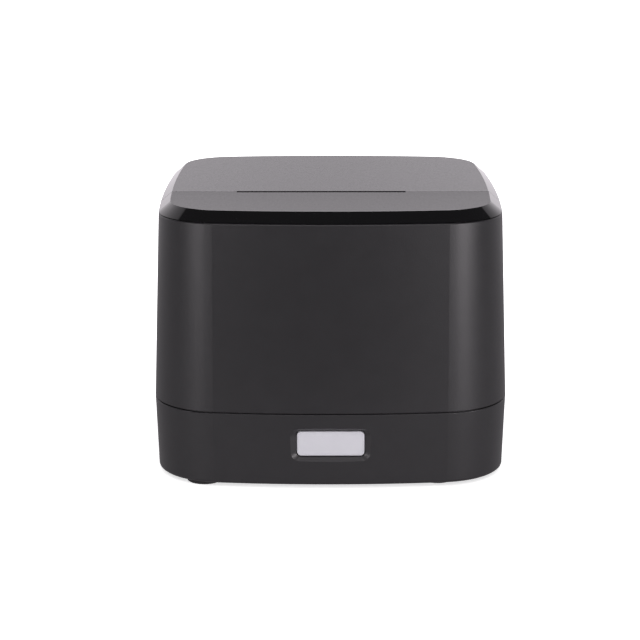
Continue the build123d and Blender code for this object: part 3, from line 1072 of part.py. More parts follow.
switch_z = (SWITCH_Z0 + SWITCH_Z1) / 2
body = box(SWITCH_X - SWITCH_W / 2, SWITCH_X + SWITCH_W / 2, BAY_Y - 14, BAY_Y, SWITCH_Z0, SWITCH_Z1)
rim_x = SWITCH_W / 2 + SWITCH_RIM
body += box(SWITCH_X - rim_x, SWITCH_X + rim_x, BAY_Y, BAY_Y + 1.2,
            SWITCH_Z0 - SWITCH_RIM, SWITCH_Z1 + SWITCH_RIM)
well_x = SWITCH_W / 2 - 0.7
body -= box(SWITCH_X - well_x, SWITCH_X + well_x, SWITCH_PIVOT_Y - 3.2, CASE_D,
            SWITCH_Z0 + 1.5, SWITCH_Z1 - 1.5)
body -= rod_z(SWITCH_X, SWITCH_PIVOT_Y, SWITCH_Z0 + 0.5, SWITCH_Z1 - 0.5, 1.0 + RUN)
PARTS["power_switch"] = body
rock_h = SWITCH_Z1 - SWITCH_Z0 - 3.6
rock_x = SWITCH_W / 2 - 1.9
rock = [(-rock_x, 0.6), (-rock_x, 4.8), (0, 3.2), (rock_x, 4.8), (rock_x, 0.6), (0, -2.0)]
turn = math.radians(-SWITCH_TILT)
turned = []
for x, y in rock:
    turned.append((SWITCH_X + x * math.cos(turn) - y * math.sin(turn),
                   SWITCH_PIVOT_Y + x * math.sin(turn) + y * math.cos(turn)))
rocker = prism_z(turned, switch_z - rock_h / 2, switch_z + rock_h / 2)
rocker += rod_z(SWITCH_X, SWITCH_PIVOT_Y, SWITCH_Z0 + 0.7, SWITCH_Z1 - 0.7, 1.0)
PARTS["power_rocker"] = rocker

panel = box(-BAY_X - PANEL_EAR, BAY_X + PANEL_EAR, PANEL_Y0, BAY_Y, BOARD_TOP + 0.4, BAY_Z1 + 1.5)
panel += box(-BAY_X - 1, BAY_X + 1, PANEL_Y0, BAY_Y, BAY_Z0 - 1.8, BOARD_TOP + 0.5)
for x, w, h in ((INLET_X, INLET_W, INLET_H), (USB_X, USB_W, USB_H), (LAN_X, LAN_W, LAN_H),
                (DRAWER_X, DRAWER_W, DRAWER_H)):
    hole_x = w / 2 + FIT
    panel -= box(x - hole_x, x + hole_x, PANEL_Y0 - 1, BAY_Y + 1, BOARD_TOP - FIT, BOARD_TOP + h + FIT)
hole_x = SWITCH_W / 2 + 0.1
panel -= box(SWITCH_X - hole_x, SWITCH_X + hole_x, PANEL_Y0 - 1, BAY_Y + 1, SWITCH_Z0 - 0.1, SWITCH_Z1 + 0.1)
for x, z in PANEL_SCREWS:
    panel -= rod_y(x, PANEL_Y0 - 1, BAY_Y + 1, z, DECK_SCREW_R + 0.2)
PARTS["connector_panel"] = panel
screws = [screw((x, PANEL_Y0, z), "+y", PANEL_T + 3.2, DECK_SCREW_R, 2.3, 1.5) for x, z in PANEL_SCREWS]
PARTS["panel_screws"] = Compound(children=screws)

# ---------------------------------------------------------------- front key
key = rounded_y(KEY_W, KEY_H, KEY_R, 0, KEY_Z, KEY_FACE, KEY_FACE + KEY_T)
key = fillet(key.faces().sort_by(Axis.Y)[0].edges(), KEY_EDGE_R)
key -= rounded_y(KEY_W - 2 * KEY_RIM, KEY_H - 2 * KEY_RIM, KEY_R - KEY_RIM, 0, KEY_Z,
                 KEY_FACE - 1, KEY_FACE + KEY_DISH)
pad_back = -CASE_D / 2 + 3.4 + PAD_T
key_y1 = max(KEY_FACE + KEY_T, pad_back + 0.2)
key += rounded_y(KEY_W, KEY_H, KEY_R, 0, KEY_Z, KEY_FACE + 1, key_y1 + 0.1)
key += rounded_y(KEY_W + 3.2, KEY_H + 2.0, KEY_R + 0.4, 0, KEY_Z, key_y1, key_y1 + KEY_FLANGE)
PARTS["feed_key"] = key
KB_Z0 = KEY_Z - 8.5
KB_Z1 = KEY_Z + 9.5
keyboard = box(-peg_x - 3.5, peg_x + 3.5, KEYBOARD_Y, KEYBOARD_Y + 1.2, KB_Z0, KB_Z1)
for x, z in PEGS:
    keyboard -= rod_y(x, KEYBOARD_Y - 1, KEYBOARD_Y + 2, z, 1.2)
PARTS["key_board"] = keyboard
sw_front = key_y1 + KEY_FLANGE + KEY_TRAVEL + 0.15
tact = box(-3, 3, sw_front + 0.6, KEYBOARD_Y, KEY_Z - 3, KEY_Z + 3)
tact += rod_y(0, sw_front, KEYBOARD_Y, KEY_Z, 1.6)
PARTS["key_switch"] = tact
leds = [box(x - 1.6, x + 1.6, KEYBOARD_Y - 0.8, KEYBOARD_Y, KEY_Z + 2.6, KEY_Z + 5.0) for x in (-10, 10)]
leds += [box(x - 1.6, x + 1.6, KEYBOARD_Y - 0.8, KEYBOARD_Y, KEY_Z - 5.0, KEY_Z - 2.6) for x in (-10, 10)]
PARTS["status_leds"] = Compound(children=leds)
screws = [screw((x, KEYBOARD_Y + 1.2, z), "-y", 4.5, 1.0, 1.9, 1.3) for x, z in PEGS]
PARTS["key_board_screws"] = Compound(children=screws)

# ---------------------------------------------------------------- write the pieces
for name, shape in PARTS.items():
    export_step(shape, "parts/" + name + ".step")
print(len(PARTS), "pieces")
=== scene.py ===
import math
import bpy
from bpy.props import FloatProperty, FloatVectorProperty, PointerProperty
from mathutils import Matrix, Vector


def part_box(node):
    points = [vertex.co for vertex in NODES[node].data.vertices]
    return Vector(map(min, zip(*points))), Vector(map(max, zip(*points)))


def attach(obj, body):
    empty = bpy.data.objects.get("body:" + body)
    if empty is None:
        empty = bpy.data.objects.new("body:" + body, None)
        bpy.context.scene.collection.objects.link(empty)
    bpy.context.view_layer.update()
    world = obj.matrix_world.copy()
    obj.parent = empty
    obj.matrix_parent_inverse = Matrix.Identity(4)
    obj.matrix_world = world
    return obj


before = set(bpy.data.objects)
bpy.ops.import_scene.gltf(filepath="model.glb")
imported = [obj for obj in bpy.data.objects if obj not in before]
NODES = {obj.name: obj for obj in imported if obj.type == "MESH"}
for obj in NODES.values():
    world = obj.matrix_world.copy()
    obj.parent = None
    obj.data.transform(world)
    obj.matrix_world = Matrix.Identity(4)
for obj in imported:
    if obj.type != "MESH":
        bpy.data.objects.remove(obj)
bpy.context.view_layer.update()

bl_info = {
    "name": "Receipt Printer",
    "version": (1, 0, 0),
    "blender": (4, 5, 0),
    "location": "View3D > Sidebar > Receipt Printer",
    "description": "Finishes, small fittings and studio for a desktop receipt printer",
    "category": "Object",
}

MM = 0.001
# Noise mostly keeps between these two values
NOISE_LOW, NOISE_HIGH = 0.3, 0.7


# ---------------------------------------------------------------- colours and nodes
def linear(colour):
    """Linear values for a shader, from sRGB hex or from a colour property, which is linear already."""
    if not isinstance(colour, str):
        return [*colour, 1.0]
    parts = [int(colour[k:k + 2], 16) / 255 for k in (0, 2, 4)]
    return [c / 12.92 if c <= 0.04045 else ((c + 0.055) / 1.055) ** 2.4 for c in parts] + [1.0]


def node(tree, kind, inputs=None, **settings):
    """A node with its settings made and its inputs linked or filled in."""
    new = tree.nodes.new("ShaderNode" + kind)
    for name, value in settings.items():
        setattr(new, name, value)
    for key, value in (inputs or {}).items():
        if isinstance(value, bpy.types.NodeSocket):
            tree.links.new(value, new.inputs[key])
        else:
            new.inputs[key].default_value = value
    return new


def shade(colour, share):
    """A colour property made darker or lighter."""
    return [part * share for part in colour]


def finish(name, colour, roughness, metallic=0.0, ior=1.5):
    """A new material, its shader and its tree."""
    material = bpy.data.materials.new(name)
    material.use_nodes = True
    tree = material.node_tree
    shader = tree.nodes["Principled BSDF"]
    shader.inputs["Base Color"].default_value = linear(colour)
    shader.inputs["Roughness"].default_value = roughness
    shader.inputs["Metallic"].default_value = metallic
    shader.inputs["IOR"].default_value = ior
    return material, tree, shader


def dress(material, *names):
    """The material on these CAD nodes or pieces."""
    for name in names:
        thing = NODES.get(name) or bpy.data.objects[name]
        if thing.material_slots:
            for place in thing.material_slots:
                place.material = material
        else:
            thing.data.materials.append(material)


def grain(tree, size_mm, detail=3.0, stretch=None):
    """Noise whose blobs are about this many millimetres across, drawn out where stretch is under 1."""
    place = node(tree, "TexCoord").outputs["Object"]
    if stretch:
        place = node(tree, "Mapping", {"Vector": place, "Scale": stretch}).outputs["Vector"]
    noise = node(tree, "TexNoise", {"Vector": place, "Scale": 1 / (size_mm * MM), "Detail": detail})
    return noise.outputs["Fac"]


def spread(tree, value, low, high):
    """A noise value spread over a range."""
    return node(tree, "MapRange", {"Value": value, "From Min": NOISE_LOW, "From Max": NOISE_HIGH,
                                   "To Min": low, "To Max": high}).outputs["Result"]


def uneven(tree, shader, noise, smooth, rough):
    """Roughness that wanders between two values with the noise."""
    tree.links.new(spread(tree, noise, smooth, rough), shader.inputs["Roughness"])


def relief(tree, shader, height, depth_mm):
    """Bump of this depth from a height."""
    bump = node(tree, "Bump", {"Height": height, "Distance": depth_mm * MM, "Strength": 1.0})
    tree.links.new(bump.outputs["Normal"], shader.inputs["Normal"])


def tint(tree, shader, factor, dark, light):
    """The base colour between two colours."""
    blend = node(tree, "Mix", {0: factor, 6: linear(dark), 7: linear(light)}, data_type="RGBA")
    tree.links.new(blend.outputs[2], shader.inputs["Base Color"])


# ---------------------------------------------------------------- what a user may change
class PrinterFinish(bpy.types.PropertyGroup):
    charcoal: FloatVectorProperty(name="Charcoal", description="Colour of the walls and the top plates",
                                  default=linear("201f21")[:3], min=0.0, max=1.0, subtype="COLOR")
    rim_black: FloatVectorProperty(name="Rim black", description="Colour of the top's polished rim",
                                   default=linear("09090a")[:3], min=0.0, max=1.0, subtype="COLOR")
    key_white: FloatVectorProperty(name="Key white", description="Colour of the milky key",
                                   default=linear("b6b6bb")[:3], min=0.0, max=1.0, subtype="COLOR")
    grain_mm: FloatProperty(name="Case grain", description="Size of the spark-eroded grain, in mm",
                            default=0.55, min=0.1, max=2.0)
    grain_depth_mm: FloatProperty(name="Grain depth", description="Depth of the grain, in mm",
                                  default=0.03, min=0.0, max=0.1)
    case_roughness: FloatProperty(name="Case roughness", description="Roughness of the textured walls",
                                  default=0.38, min=0.0, max=1.0, subtype="FACTOR")
    top_roughness: FloatProperty(name="Top roughness", description="Roughness of the textured top plate",
                                 default=0.23, min=0.0, max=1.0, subtype="FACTOR")
    strip_dulling: FloatProperty(name="Strip dulling", description="Roughness added beside the slot",
                                 default=0.12, min=0.0, max=0.5, subtype="FACTOR")
    key_glow: FloatProperty(name="Key milkiness", description="Share of light that spreads inside it",
                            default=0.25, min=0.0, max=1.0, subtype="FACTOR")


class PrinterFittings(bpy.types.PropertyGroup):
    contact_width: FloatProperty(name="Contact width", description="Width of one contact spring",
                                 default=0.45 * MM, unit="LENGTH")
    contact_pitch: FloatProperty(name="Contact pitch", description="Spacing of the contact springs",
                                 default=1.02 * MM, unit="LENGTH")
    mark_height: FloatProperty(name="Mark height", description="How far the rocker's marks stand up",
                               default=0.15 * MM, unit="LENGTH")
    mark_size: FloatProperty(name="Mark size", description="Height of the rocker's marks",
                             default=3.2 * MM, unit="LENGTH")


class PrinterStudio(bpy.types.PropertyGroup):
    camera_distance: FloatProperty(name="Camera distance", description="From the case's middle, level",
                                   default=0.9462, unit="LENGTH")
    camera_height: FloatProperty(name="Camera height", description="Above the floor",
                                 default=0.297, unit="LENGTH")
    camera_pitch: FloatProperty(name="Camera pitch", description="How far the camera looks down",
                                default=0.24588, subtype="ANGLE")
    camera_turn: FloatProperty(name="Camera turn", description="Round the case, to the left",
                               default=0.00264, subtype="ANGLE")
    lens_mm: FloatProperty(name="Lens", description="Focal length on a 36 mm sensor", default=109.8,
                           unit="CAMERA")
    left_power: FloatProperty(name="Left panel", description="Power of the low panel on the left",
                              default=1.65, min=0.0, unit="POWER")
    right_power: FloatProperty(name="Right panel", description="Power of the low panel on the right",
                               default=3.4, min=0.0, unit="POWER")
    front_power: FloatProperty(name="Front softbox", description="Power of the softbox above the front",
                               default=2.6, min=0.0, unit="POWER")
    back_power: FloatProperty(name="Rear softbox", description="Power of the softbox above the rear",
                              default=11.0, min=0.0, unit="POWER")
    fill: FloatProperty(name="Room light", description="Even light from all round",
                        default=0.75, min=0.0)
    lamp_colour: FloatVectorProperty(name="Lamp colour", description="Faintly pink light of the lamps",
                                     default=(1.0, 0.95, 0.99), min=0.0, max=1.0, subtype="COLOR")
    room_colour: FloatVectorProperty(name="Room colour", description="The room's pink, as gloss sees it",
                                     default=(1.0, 0.95, 1.0), min=0.0, max=1.0, subtype="COLOR")


# ---------------------------------------------------------------- finishes
# Darker and lighter patches, as shares of the colour that they mottle
WALL_DARK, WALL_LIGHT = 0.9, 1.16
KEY_DARK, KEY_LIGHT = 0.976, 1.037
# The top is polished where its normal points up by less than the first value, grained over the second
POLISH_UNDER, GRAIN_OVER = 0.985, 0.9995
RIM_ROUGHNESS = 0.05
ROUGHNESS_SWING = 0.02
# The front strip's dulling starts this far behind its front edge, at this share of its full value, and
# ends just behind its rear edge
DULL_START = 2 * MM
DULL_SHARE = 0.55
DULL_PAST = 0.05 * MM
# How deep the socket shells show nickel, before the black insert begins
NICKEL_DEEP = 0.6 * MM


class PRINTER_OT_case_finish(bpy.types.Operator):
    """Moulded ABS walls with a fine spark-eroded grain."""
    bl_idname = "printer.case_finish"
    bl_label = "Case finish"

    def execute(self, context):
        size = context.scene.printer_finish
        # Charcoal ABS from an eroded mould: matt and very slightly mottled, it greys at a glancing angle
        material, tree, shader = finish("textured_charcoal_abs", size.charcoal, size.case_roughness,
                                        ior=1.53)
        tint(tree, shader, grain(tree, 9.0), shade(size.charcoal, WALL_DARK),
             shade(size.charcoal, WALL_LIGHT))
        relief(tree, shader, grain(tree, size.grain_mm, 4.0), size.grain_depth_mm)
        dress(material, "lower_case", "upper_case", "release_slider")
        return {"FINISHED"}


class PRINTER_OT_top_finish(bpy.types.Operator):
    """ABS top parts: grained flat top, polished black rim."""
    bl_idname = "printer.top_finish"
    bl_label = "Top finish"

    def execute(self, context):
        size = context.scene.printer_finish
        # Each is one moulding with two finishes: flat top eroded, chamfer and edges polished
        material, tree, shader = finish("grained_top_polished_rim_abs", size.charcoal, size.top_roughness,
                                        ior=1.57)
        facing = node(tree, "SeparateXYZ", {"Vector": node(tree, "TexCoord").outputs["Normal"]})
        flat = node(tree, "MapRange", {"Value": facing.outputs["Z"], "From Min": POLISH_UNDER,
                                       "From Max": GRAIN_OVER}).outputs["Result"]
        tint(tree, shader, flat, size.rim_black, size.charcoal)
        # Grain fine enough to read as speckle, drawn out front to back so that it shows at a low angle
        speckle = grain(tree, 1.0, 4.0, (1, 0.3, 1))
        speckled = spread(tree, speckle, size.top_roughness - ROUGHNESS_SWING,
                          size.top_roughness + ROUGHNESS_SWING)
        # The strip is duller than the lid, and most of all beside the slot
        low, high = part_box("front_cap")
        place = node(tree, "SeparateXYZ", {"Vector": node(tree, "TexCoord").outputs["Object"]})
        inward = node(tree, "MapRange", {"Value": place.outputs["Y"], "From Min": low.y + DULL_START,
                                         "From Max": high.y, "To Min": size.strip_dulling * DULL_SHARE,
                                         "To Max": size.strip_dulling})
        on_strip = node(tree, "Math", {0: place.outputs["Y"], 1: high.y + DULL_PAST},
                        operation="LESS_THAN")
        dull = node(tree, "Math", {0: inward.outputs["Result"], 1: on_strip.outputs["Value"],
                                   2: speckled}, operation="MULTIPLY_ADD")
        rough = node(tree, "MapRange", {"Value": flat, "To Min": RIM_ROUGHNESS,
                                        "To Max": dull.outputs["Value"]})
        tree.links.new(rough.outputs["Result"], shader.inputs["Roughness"])
        depth = node(tree, "Math", {0: grain(tree, size.grain_mm, 4.0), 1: flat}, operation="MULTIPLY")
        relief(tree, shader, depth.outputs["Value"], size.grain_depth_mm)
        dress(material, "front_cap", "lid_cover")
        return {"FINISHED"}


class PRINTER_OT_key_finish(bpy.types.Operator):
    """Milky translucent key."""
    bl_idname = "printer.key_finish"
    bl_label = "Key finish"

    def execute(self, context):
        size = context.scene.printer_finish
        # Opal polycarbonate that lets the lamps behind it glow: soft satin white with a cool cast
        material, tree, shader = finish("opal_polycarbonate_key", size.key_white, 0.3, ior=1.58)
        shader.inputs["Subsurface Weight"].default_value = size.key_glow
        shader.inputs["Subsurface Radius"].default_value = (1.0, 0.95, 1.05)
        shader.inputs["Subsurface Scale"].default_value = 1.5 * MM
        tint(tree, shader, grain(tree, 6.0), shade(size.key_white, KEY_DARK),
             shade(size.key_white, KEY_LIGHT))
        relief(tree, shader, grain(tree, 0.8), 0.004)
        dress(material, "feed_key")
        return {"FINISHED"}


class PRINTER_OT_rubber_finish(bpy.types.Operator):
    """Feet and platen rubber."""
    bl_idname = "printer.rubber_finish"
    bl_label = "Rubber finish"

    def execute(self, context):
        # Moulded nitrile feet: dull, a little dusty
        material, tree, shader = finish("moulded_nitrile_feet", "171717", 0.75, ior=1.52)
        tint(tree, shader, grain(tree, 3.0), "141414", "1d1c1c")
        relief(tree, shader, grain(tree, 0.5), 0.02)
        dress(material, "feet")
        # Ground silicone roller: even satin black with faint grinding rings
        material, tree, shader = finish("ground_platen_rubber", "2c2c2e", 0.55, ior=1.45)
        relief(tree, shader, grain(tree, 0.25, 2.0, (1.0, 0.05, 0.05)), 0.006)
        dress(material, "platen_roller")
        return {"FINISHED"}


class PRINTER_OT_metal_finish(bpy.types.Operator):
    """Plated, ground and blackened metal parts."""
    bl_idname = "printer.metal_finish"
    bl_label = "Metal finishes"

    def execute(self, context):
        # Zinc plate on pressed steel: bright grey with a soft, slightly cloudy shine
        material, tree, shader = finish("zinc_plated_steel", "a9abae", 0.34, metallic=1.0)
        tint(tree, shader, grain(tree, 4.0), "a0a2a6", "b4b6b8")
        uneven(tree, shader, grain(tree, 1.5), 0.28, 0.42)
        relief(tree, shader, grain(tree, 0.3), 0.004)
        dress(material, "case_screws", "hinge_pins", "deck_screws", "printer_frame", "frame_screws",
              "idler_stud", "feed_motor", "motor_screws", "cutter_plate", "cutter_motor", "board_screws",
              "connector_panel", "panel_screws", "key_board_screws", "liner_screws", "blade_screws",
              "platen_shaft", "cutter_shaft")
        # Nickel on the socket shells, brighter and smoother than the zinc; their black nylon inserts lie
        # just inside the mouth
        material, tree, shader = finish("nickel_plated_shell", "c0bdb6", 0.3, metallic=1.0)
        place = node(tree, "SeparateXYZ", {"Vector": node(tree, "TexCoord").outputs["Object"]})
        mouth = node(tree, "Math", {0: place.outputs["Y"], 1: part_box("lan_socket")[1].y - NICKEL_DEEP},
                     operation="GREATER_THAN").outputs["Value"]
        tint(tree, shader, mouth, "1b1b1c", "c0bdb6")
        tree.links.new(mouth, shader.inputs["Metallic"])
        rough = node(tree, "MapRange", {"Value": mouth, "To Min": 0.5,
                                        "To Max": spread(tree, grain(tree, 1.0), 0.28, 0.36)})
        tree.links.new(rough.outputs["Result"], shader.inputs["Roughness"])
        dress(material, "usb_socket", "lan_socket")
        # Spring steel, drawn or rolled: a warm grey with fine upright lines
        material, tree, shader = finish("spring_steel", "96948f", 0.3, metallic=1.0)
        uneven(tree, shader, grain(tree, 0.4, 2.0, (1, 1, 0.05)), 0.22, 0.4)
        dress(material, "latch_spring", "head_springs")
        # Ground blade steel: fine grinding lines from front to back
        material, tree, shader = finish("ground_blade_steel", "b4b5b8", 0.24, metallic=1.0)
        lines = grain(tree, 0.2, 2.0, (1, 0.03, 1))
        uneven(tree, shader, lines, 0.16, 0.34)
        relief(tree, shader, lines, 0.003)
        dress(material, "fixed_blade", "cutter_blade")
        # Blackened tear bar: dark oxide that still glints on its teeth
        material, tree, shader = finish("black_oxide_steel", "2b2b2d", 0.38, metallic=1.0)
        tint(tree, shader, grain(tree, 1.2), "222224", "353537")
        dress(material, "tear_bar")
        # Extruded aluminium behind the print head: pale satin with draw lines along it
        material, tree, shader = finish("extruded_aluminium", "c3c4c6", 0.36, metallic=1.0)
        relief(tree, shader, grain(tree, 0.25, 2.0, (0.03, 1, 1)), 0.006)
        dress(material, "head_sink")
        # Drawn aluminium cans
        material, tree, shader = finish("drawn_aluminium_can", "b5b6b9", 0.3, metallic=1.0)
        uneven(tree, shader, grain(tree, 1.0), 0.24, 0.38)
        dress(material, "board_capacitors")
        # Machined brass pinion
        material, tree, shader = finish("machined_brass", "c2a05a", 0.3, metallic=1.0)
        tint(tree, shader, grain(tree, 1.0), "b08f4c", "cfae68")
        dress(material, "cutter_pinion")
        return {"FINISHED"}


class PRINTER_OT_inner_finish(bpy.types.Operator):
    """Plastics, boards and ceramics inside the case."""
    bl_idname = "printer.inner_finish"
    bl_label = "Inner finishes"

    def execute(self, context):
        # Mid grey ABS of the bucket and lid liner: plain moulded, a little shinier than the case
        material, tree, shader = finish("moulded_grey_abs", "5f6063", 0.42, ior=1.53)
        tint(tree, shader, grain(tree, 12.0), "5b5c5f", "636467")
        relief(tree, shader, grain(tree, 0.7, 4.0), 0.012)
        dress(material, "paper_bucket", "lid_liner")
        # Glass-filled nylon of sockets and switches: black with faint flow marks
        material, tree, shader = finish("glass_filled_nylon", "1b1b1c", 0.5, ior=1.53)
        uneven(tree, shader, grain(tree, 2.0), 0.42, 0.58)
        relief(tree, shader, grain(tree, 0.4), 0.01)
        dress(material, "power_inlet", "drawer_socket", "power_switch", "paper_sensor", "cover_switch")
        # The rocker is the same nylon, but polished where the finger presses
        material, tree, shader = finish("polished_nylon_rocker", "141415", 0.22, ior=1.53)
        uneven(tree, shader, grain(tree, 3.0), 0.18, 0.3)
        dress(material, "power_rocker")
        # Acetal gears and bushes: waxy white
        material, tree, shader = finish("white_acetal", "e4e3dd", 0.38, ior=1.48)
        shader.inputs["Subsurface Weight"].default_value = 0.15
        shader.inputs["Subsurface Scale"].default_value = 1.0 * MM
        tint(tree, shader, grain(tree, 3.0), "e0dfd8", "e8e7e2")
        dress(material, "platen_bushes", "platen_gear", "idler_gear", "feed_pinion", "cutter_racks",
              "cutter_gears", "board_headers", "motor_cable")
        # Glazed alumina strip of the print head
        material, tree, shader = finish("glazed_alumina", "dcd6c8", 0.14, ior=1.6)
        tint(tree, shader, grain(tree, 2.0), "d6cfc0", "e2dccf")
        dress(material, "head_ceramic")
        # Green solder mask over copper: glossy, with darker board between the traces
        material, tree, shader = finish("green_solder_mask", "0f5a33", 0.25, ior=1.55)
        place = node(tree, "TexCoord").outputs["Object"]
        cells = node(tree, "TexVoronoi", {"Vector": place, "Scale": 1 / (2.5 * MM)},
                     distance="CHEBYCHEV")
        tint(tree, shader, spread(tree, cells.outputs["Distance"], 0.0, 1.0), "0b4a29", "14683c")
        dress(material, "main_board", "key_board")
        # Moulded epoxy of chips and buzzer: dark and matt
        material, tree, shader = finish("moulded_epoxy", "1d1d1f", 0.6, ior=1.55)
        relief(tree, shader, grain(tree, 0.3), 0.01)
        dress(material, "board_chips", "buzzer", "key_switch")
        # Polyimide film: clear amber over copper
        material, tree, shader = finish("polyimide_film", "a0561c", 0.2, ior=1.7)
        tint(tree, shader, grain(tree, 0.5, 2.0, (1, 0.02, 0.02)), "8c4715", "b26526")
        dress(material, "head_flex")
        # Clear lamp lenses
        material, tree, shader = finish("clear_lamp_lens", "e6e6df", 0.1, ior=1.5)
        tint(tree, shader, grain(tree, 1.0), "dcdcd4", "eeeee8")
        dress(material, "status_leds")
        return {"FINISHED"}


# ---------------------------------------------------------------- small fittings
# Small edges are rounded in this many steps, and edges flatter than this angle are shaded smooth
EDGE_STEPS = 2
SMOOTH_UNDER = math.radians(40)
# Contact springs: the thickness of the wire, its rounded edge, and how far they start inside the mouth
# and under the roof
WIRE = 0.3 * MM
WIRE_EDGE = 0.06 * MM
SPRING_INSIDE = 1.6 * MM
SPRING_UNDER = 0.2 * MM
# Their runs, as millimetres back and down, and how far the last run rises
SPRING_RUNS = ((0.8, 0.1), (1.2, 0.7), (2.2, 1.6), (0.8, 0.25))
TAIL_RISE = 0.4
# For each socket, its springs' name and number, its roof's height, and the last run in millimetres
SPRING_ROWS = {"lan_socket": ("lan_contact", 8, 11.0 * MM, 1.6),
               "drawer_socket": ("drawer_contact", 6, 10.2 * MM, 1.2)}
# The rocker's marks: the bar, the ring's wall, their rounded edges, and how far they lie from the middle
# as a share of the rocker's width
BAR_WIDTH = 0.5 * MM
BAR_EDGE = 0.05 * MM
RING_WIDTH = 0.5 * MM
RING_EDGE = 0.04 * MM
RING_POINTS = 48
MARK_ASIDE = 0.25
# A face looks along an axis where its normal's part on that axis is over this
FACES_ALONG = 0.8


def active_piece():
    """The piece that the last operator made."""
    return bpy.context.view_layer.objects.active


def deselect_all():
    """Nothing selected, so that the next operators act on the new piece alone."""
    if active_piece() and active_piece().mode != "OBJECT":
        bpy.ops.object.mode_set(mode="OBJECT")
    bpy.ops.object.select_all(action="DESELECT")


def edit_faces(piece, wanted):
    """Edit mode, with just those faces selected that pass the test."""
    bpy.ops.object.mode_set(mode="EDIT")
    bpy.ops.mesh.select_all(action="DESELECT")
    bpy.ops.mesh.select_mode(type="FACE")
    bpy.ops.object.mode_set(mode="OBJECT")
    for face in piece.data.polygons:
        face.select = wanted(face)
    bpy.ops.object.mode_set(mode="EDIT")


def soften(piece, width):
    """Small round edges."""
    bpy.context.view_layer.objects.active = piece
    piece.select_set(True)
    bevel = piece.modifiers.new("edges", "BEVEL")
    bevel.width = width
    bevel.segments = EDGE_STEPS
    bevel.limit_method = "ANGLE"
    bpy.ops.object.modifier_apply(modifier=bevel.name)
    bpy.ops.object.shade_smooth_by_angle(angle=SMOOTH_UNDER)


def keep(piece, name, body):
    """Names the piece, puts its place in its mesh and lets it ride on its body."""
    bpy.ops.object.mode_set(mode="OBJECT")
    bpy.ops.object.transform_apply(location=True, rotation=True, scale=True)
    piece.name = name
    piece.data.name = name
    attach(piece, body)
    return piece


def copy_along(piece, count, step, name):
    """The contact spring and its copies, each with its own mesh, a step apart."""
    made = [piece]
    for k in range(1, count):
        twin = piece.copy()
        twin.data = piece.data.copy()
        twin.data.transform(Matrix.Translation(step * k))
        bpy.context.collection.objects.link(twin)
        twin.name = twin.data.name = f"{name}_{k + 1}"
        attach(twin, "base")
        made.append(twin)
    return made


def contact_row(socket, name, count, roof_height, tail):
    """Springs that come down from a socket's roof and point back into it."""
    size = bpy.context.scene.printer_fittings
    low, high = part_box(socket)
    middle = (low.x + high.x) / 2
    roof = low.z + roof_height
    deselect_all()
    first = middle - (count - 1) / 2 * size.contact_pitch
    start = (first, high.y - SPRING_INSIDE, roof - SPRING_UNDER)
    bpy.ops.mesh.primitive_cube_add(size=1, location=start, scale=(size.contact_width, WIRE, WIRE))
    wire = active_piece()
    edit_faces(wire, lambda face: face.normal.y < -FACES_ALONG)
    for back, down in (*SPRING_RUNS, (tail, -TAIL_RISE)):
        bpy.ops.mesh.extrude_region_move(TRANSFORM_OT_translate={"value": (0, -back * MM, -down * MM)})
    bpy.ops.mesh.select_all(action="SELECT")
    bpy.ops.mesh.normals_make_consistent(inside=False)
    bpy.ops.object.mode_set(mode="OBJECT")
    soften(wire, WIRE_EDGE)
    keep(wire, name + "_1", "base")
    return copy_along(wire, count, Vector((size.contact_pitch, 0, 0)), name)


class PRINTER_OT_contacts(bpy.types.Operator):
    """Gold contact springs in the network and drawer sockets."""
    bl_idname = "printer.contacts"
    bl_label = "Socket contacts"

    def execute(self, context):
        # Gold flash on phosphor bronze: deep yellow and smooth
        material, tree, shader = finish("gold_flashed_bronze", "d8b25a", 0.22, metallic=1.0)
        uneven(tree, shader, grain(tree, 0.6), 0.16, 0.28)
        for socket, row in SPRING_ROWS.items():
            springs = contact_row(socket, *row)
            dress(material, *(spring.name for spring in springs))
        return {"FINISHED"}


class PRINTER_OT_rocker_marks(bpy.types.Operator):
    """Raised bar and ring, for on and off, on the power rocker."""
    bl_idname = "printer.rocker_marks"
    bl_label = "Rocker marks"

    def execute(self, context):
        size = context.scene.printer_fittings
        # Pad-printed white: flat and slightly uneven
        material, tree, shader = finish("white_pad_print", "dadad6", 0.6, ior=1.5)
        tint(tree, shader, grain(tree, 0.6), "cfcfca", "e2e2de")
        for name, place in rocker_places().items():
            deselect_all()
            mark = raised_bar(size) if name == "rocker_bar" else raised_ring(size)
            mark.matrix_world = place @ mark.matrix_world
            keep(mark, name, "rocker")
            dress(material, mark.name)
        return {"FINISHED"}


def raised_bar(size):
    """An upright bar, for on."""
    bpy.ops.mesh.primitive_cube_add(size=1, scale=(BAR_WIDTH, size.mark_height, size.mark_size))
    bar = active_piece()
    soften(bar, BAR_EDGE)
    return bar


def raised_ring(size):
    """A ring, for off: a disc whose two faces are inset and joined through."""
    bpy.ops.mesh.primitive_cylinder_add(vertices=RING_POINTS, radius=size.mark_size / 2,
                                        depth=size.mark_height, end_fill_type="NGON",
                                        rotation=(math.pi / 2, 0, 0))
    ring = active_piece()
    edit_faces(ring, lambda face: len(face.vertices) == RING_POINTS)
    bpy.ops.mesh.inset(thickness=RING_WIDTH)
    bpy.ops.mesh.bridge_edge_loops()
    bpy.ops.object.mode_set(mode="OBJECT")
    soften(ring, RING_EDGE)
    return ring


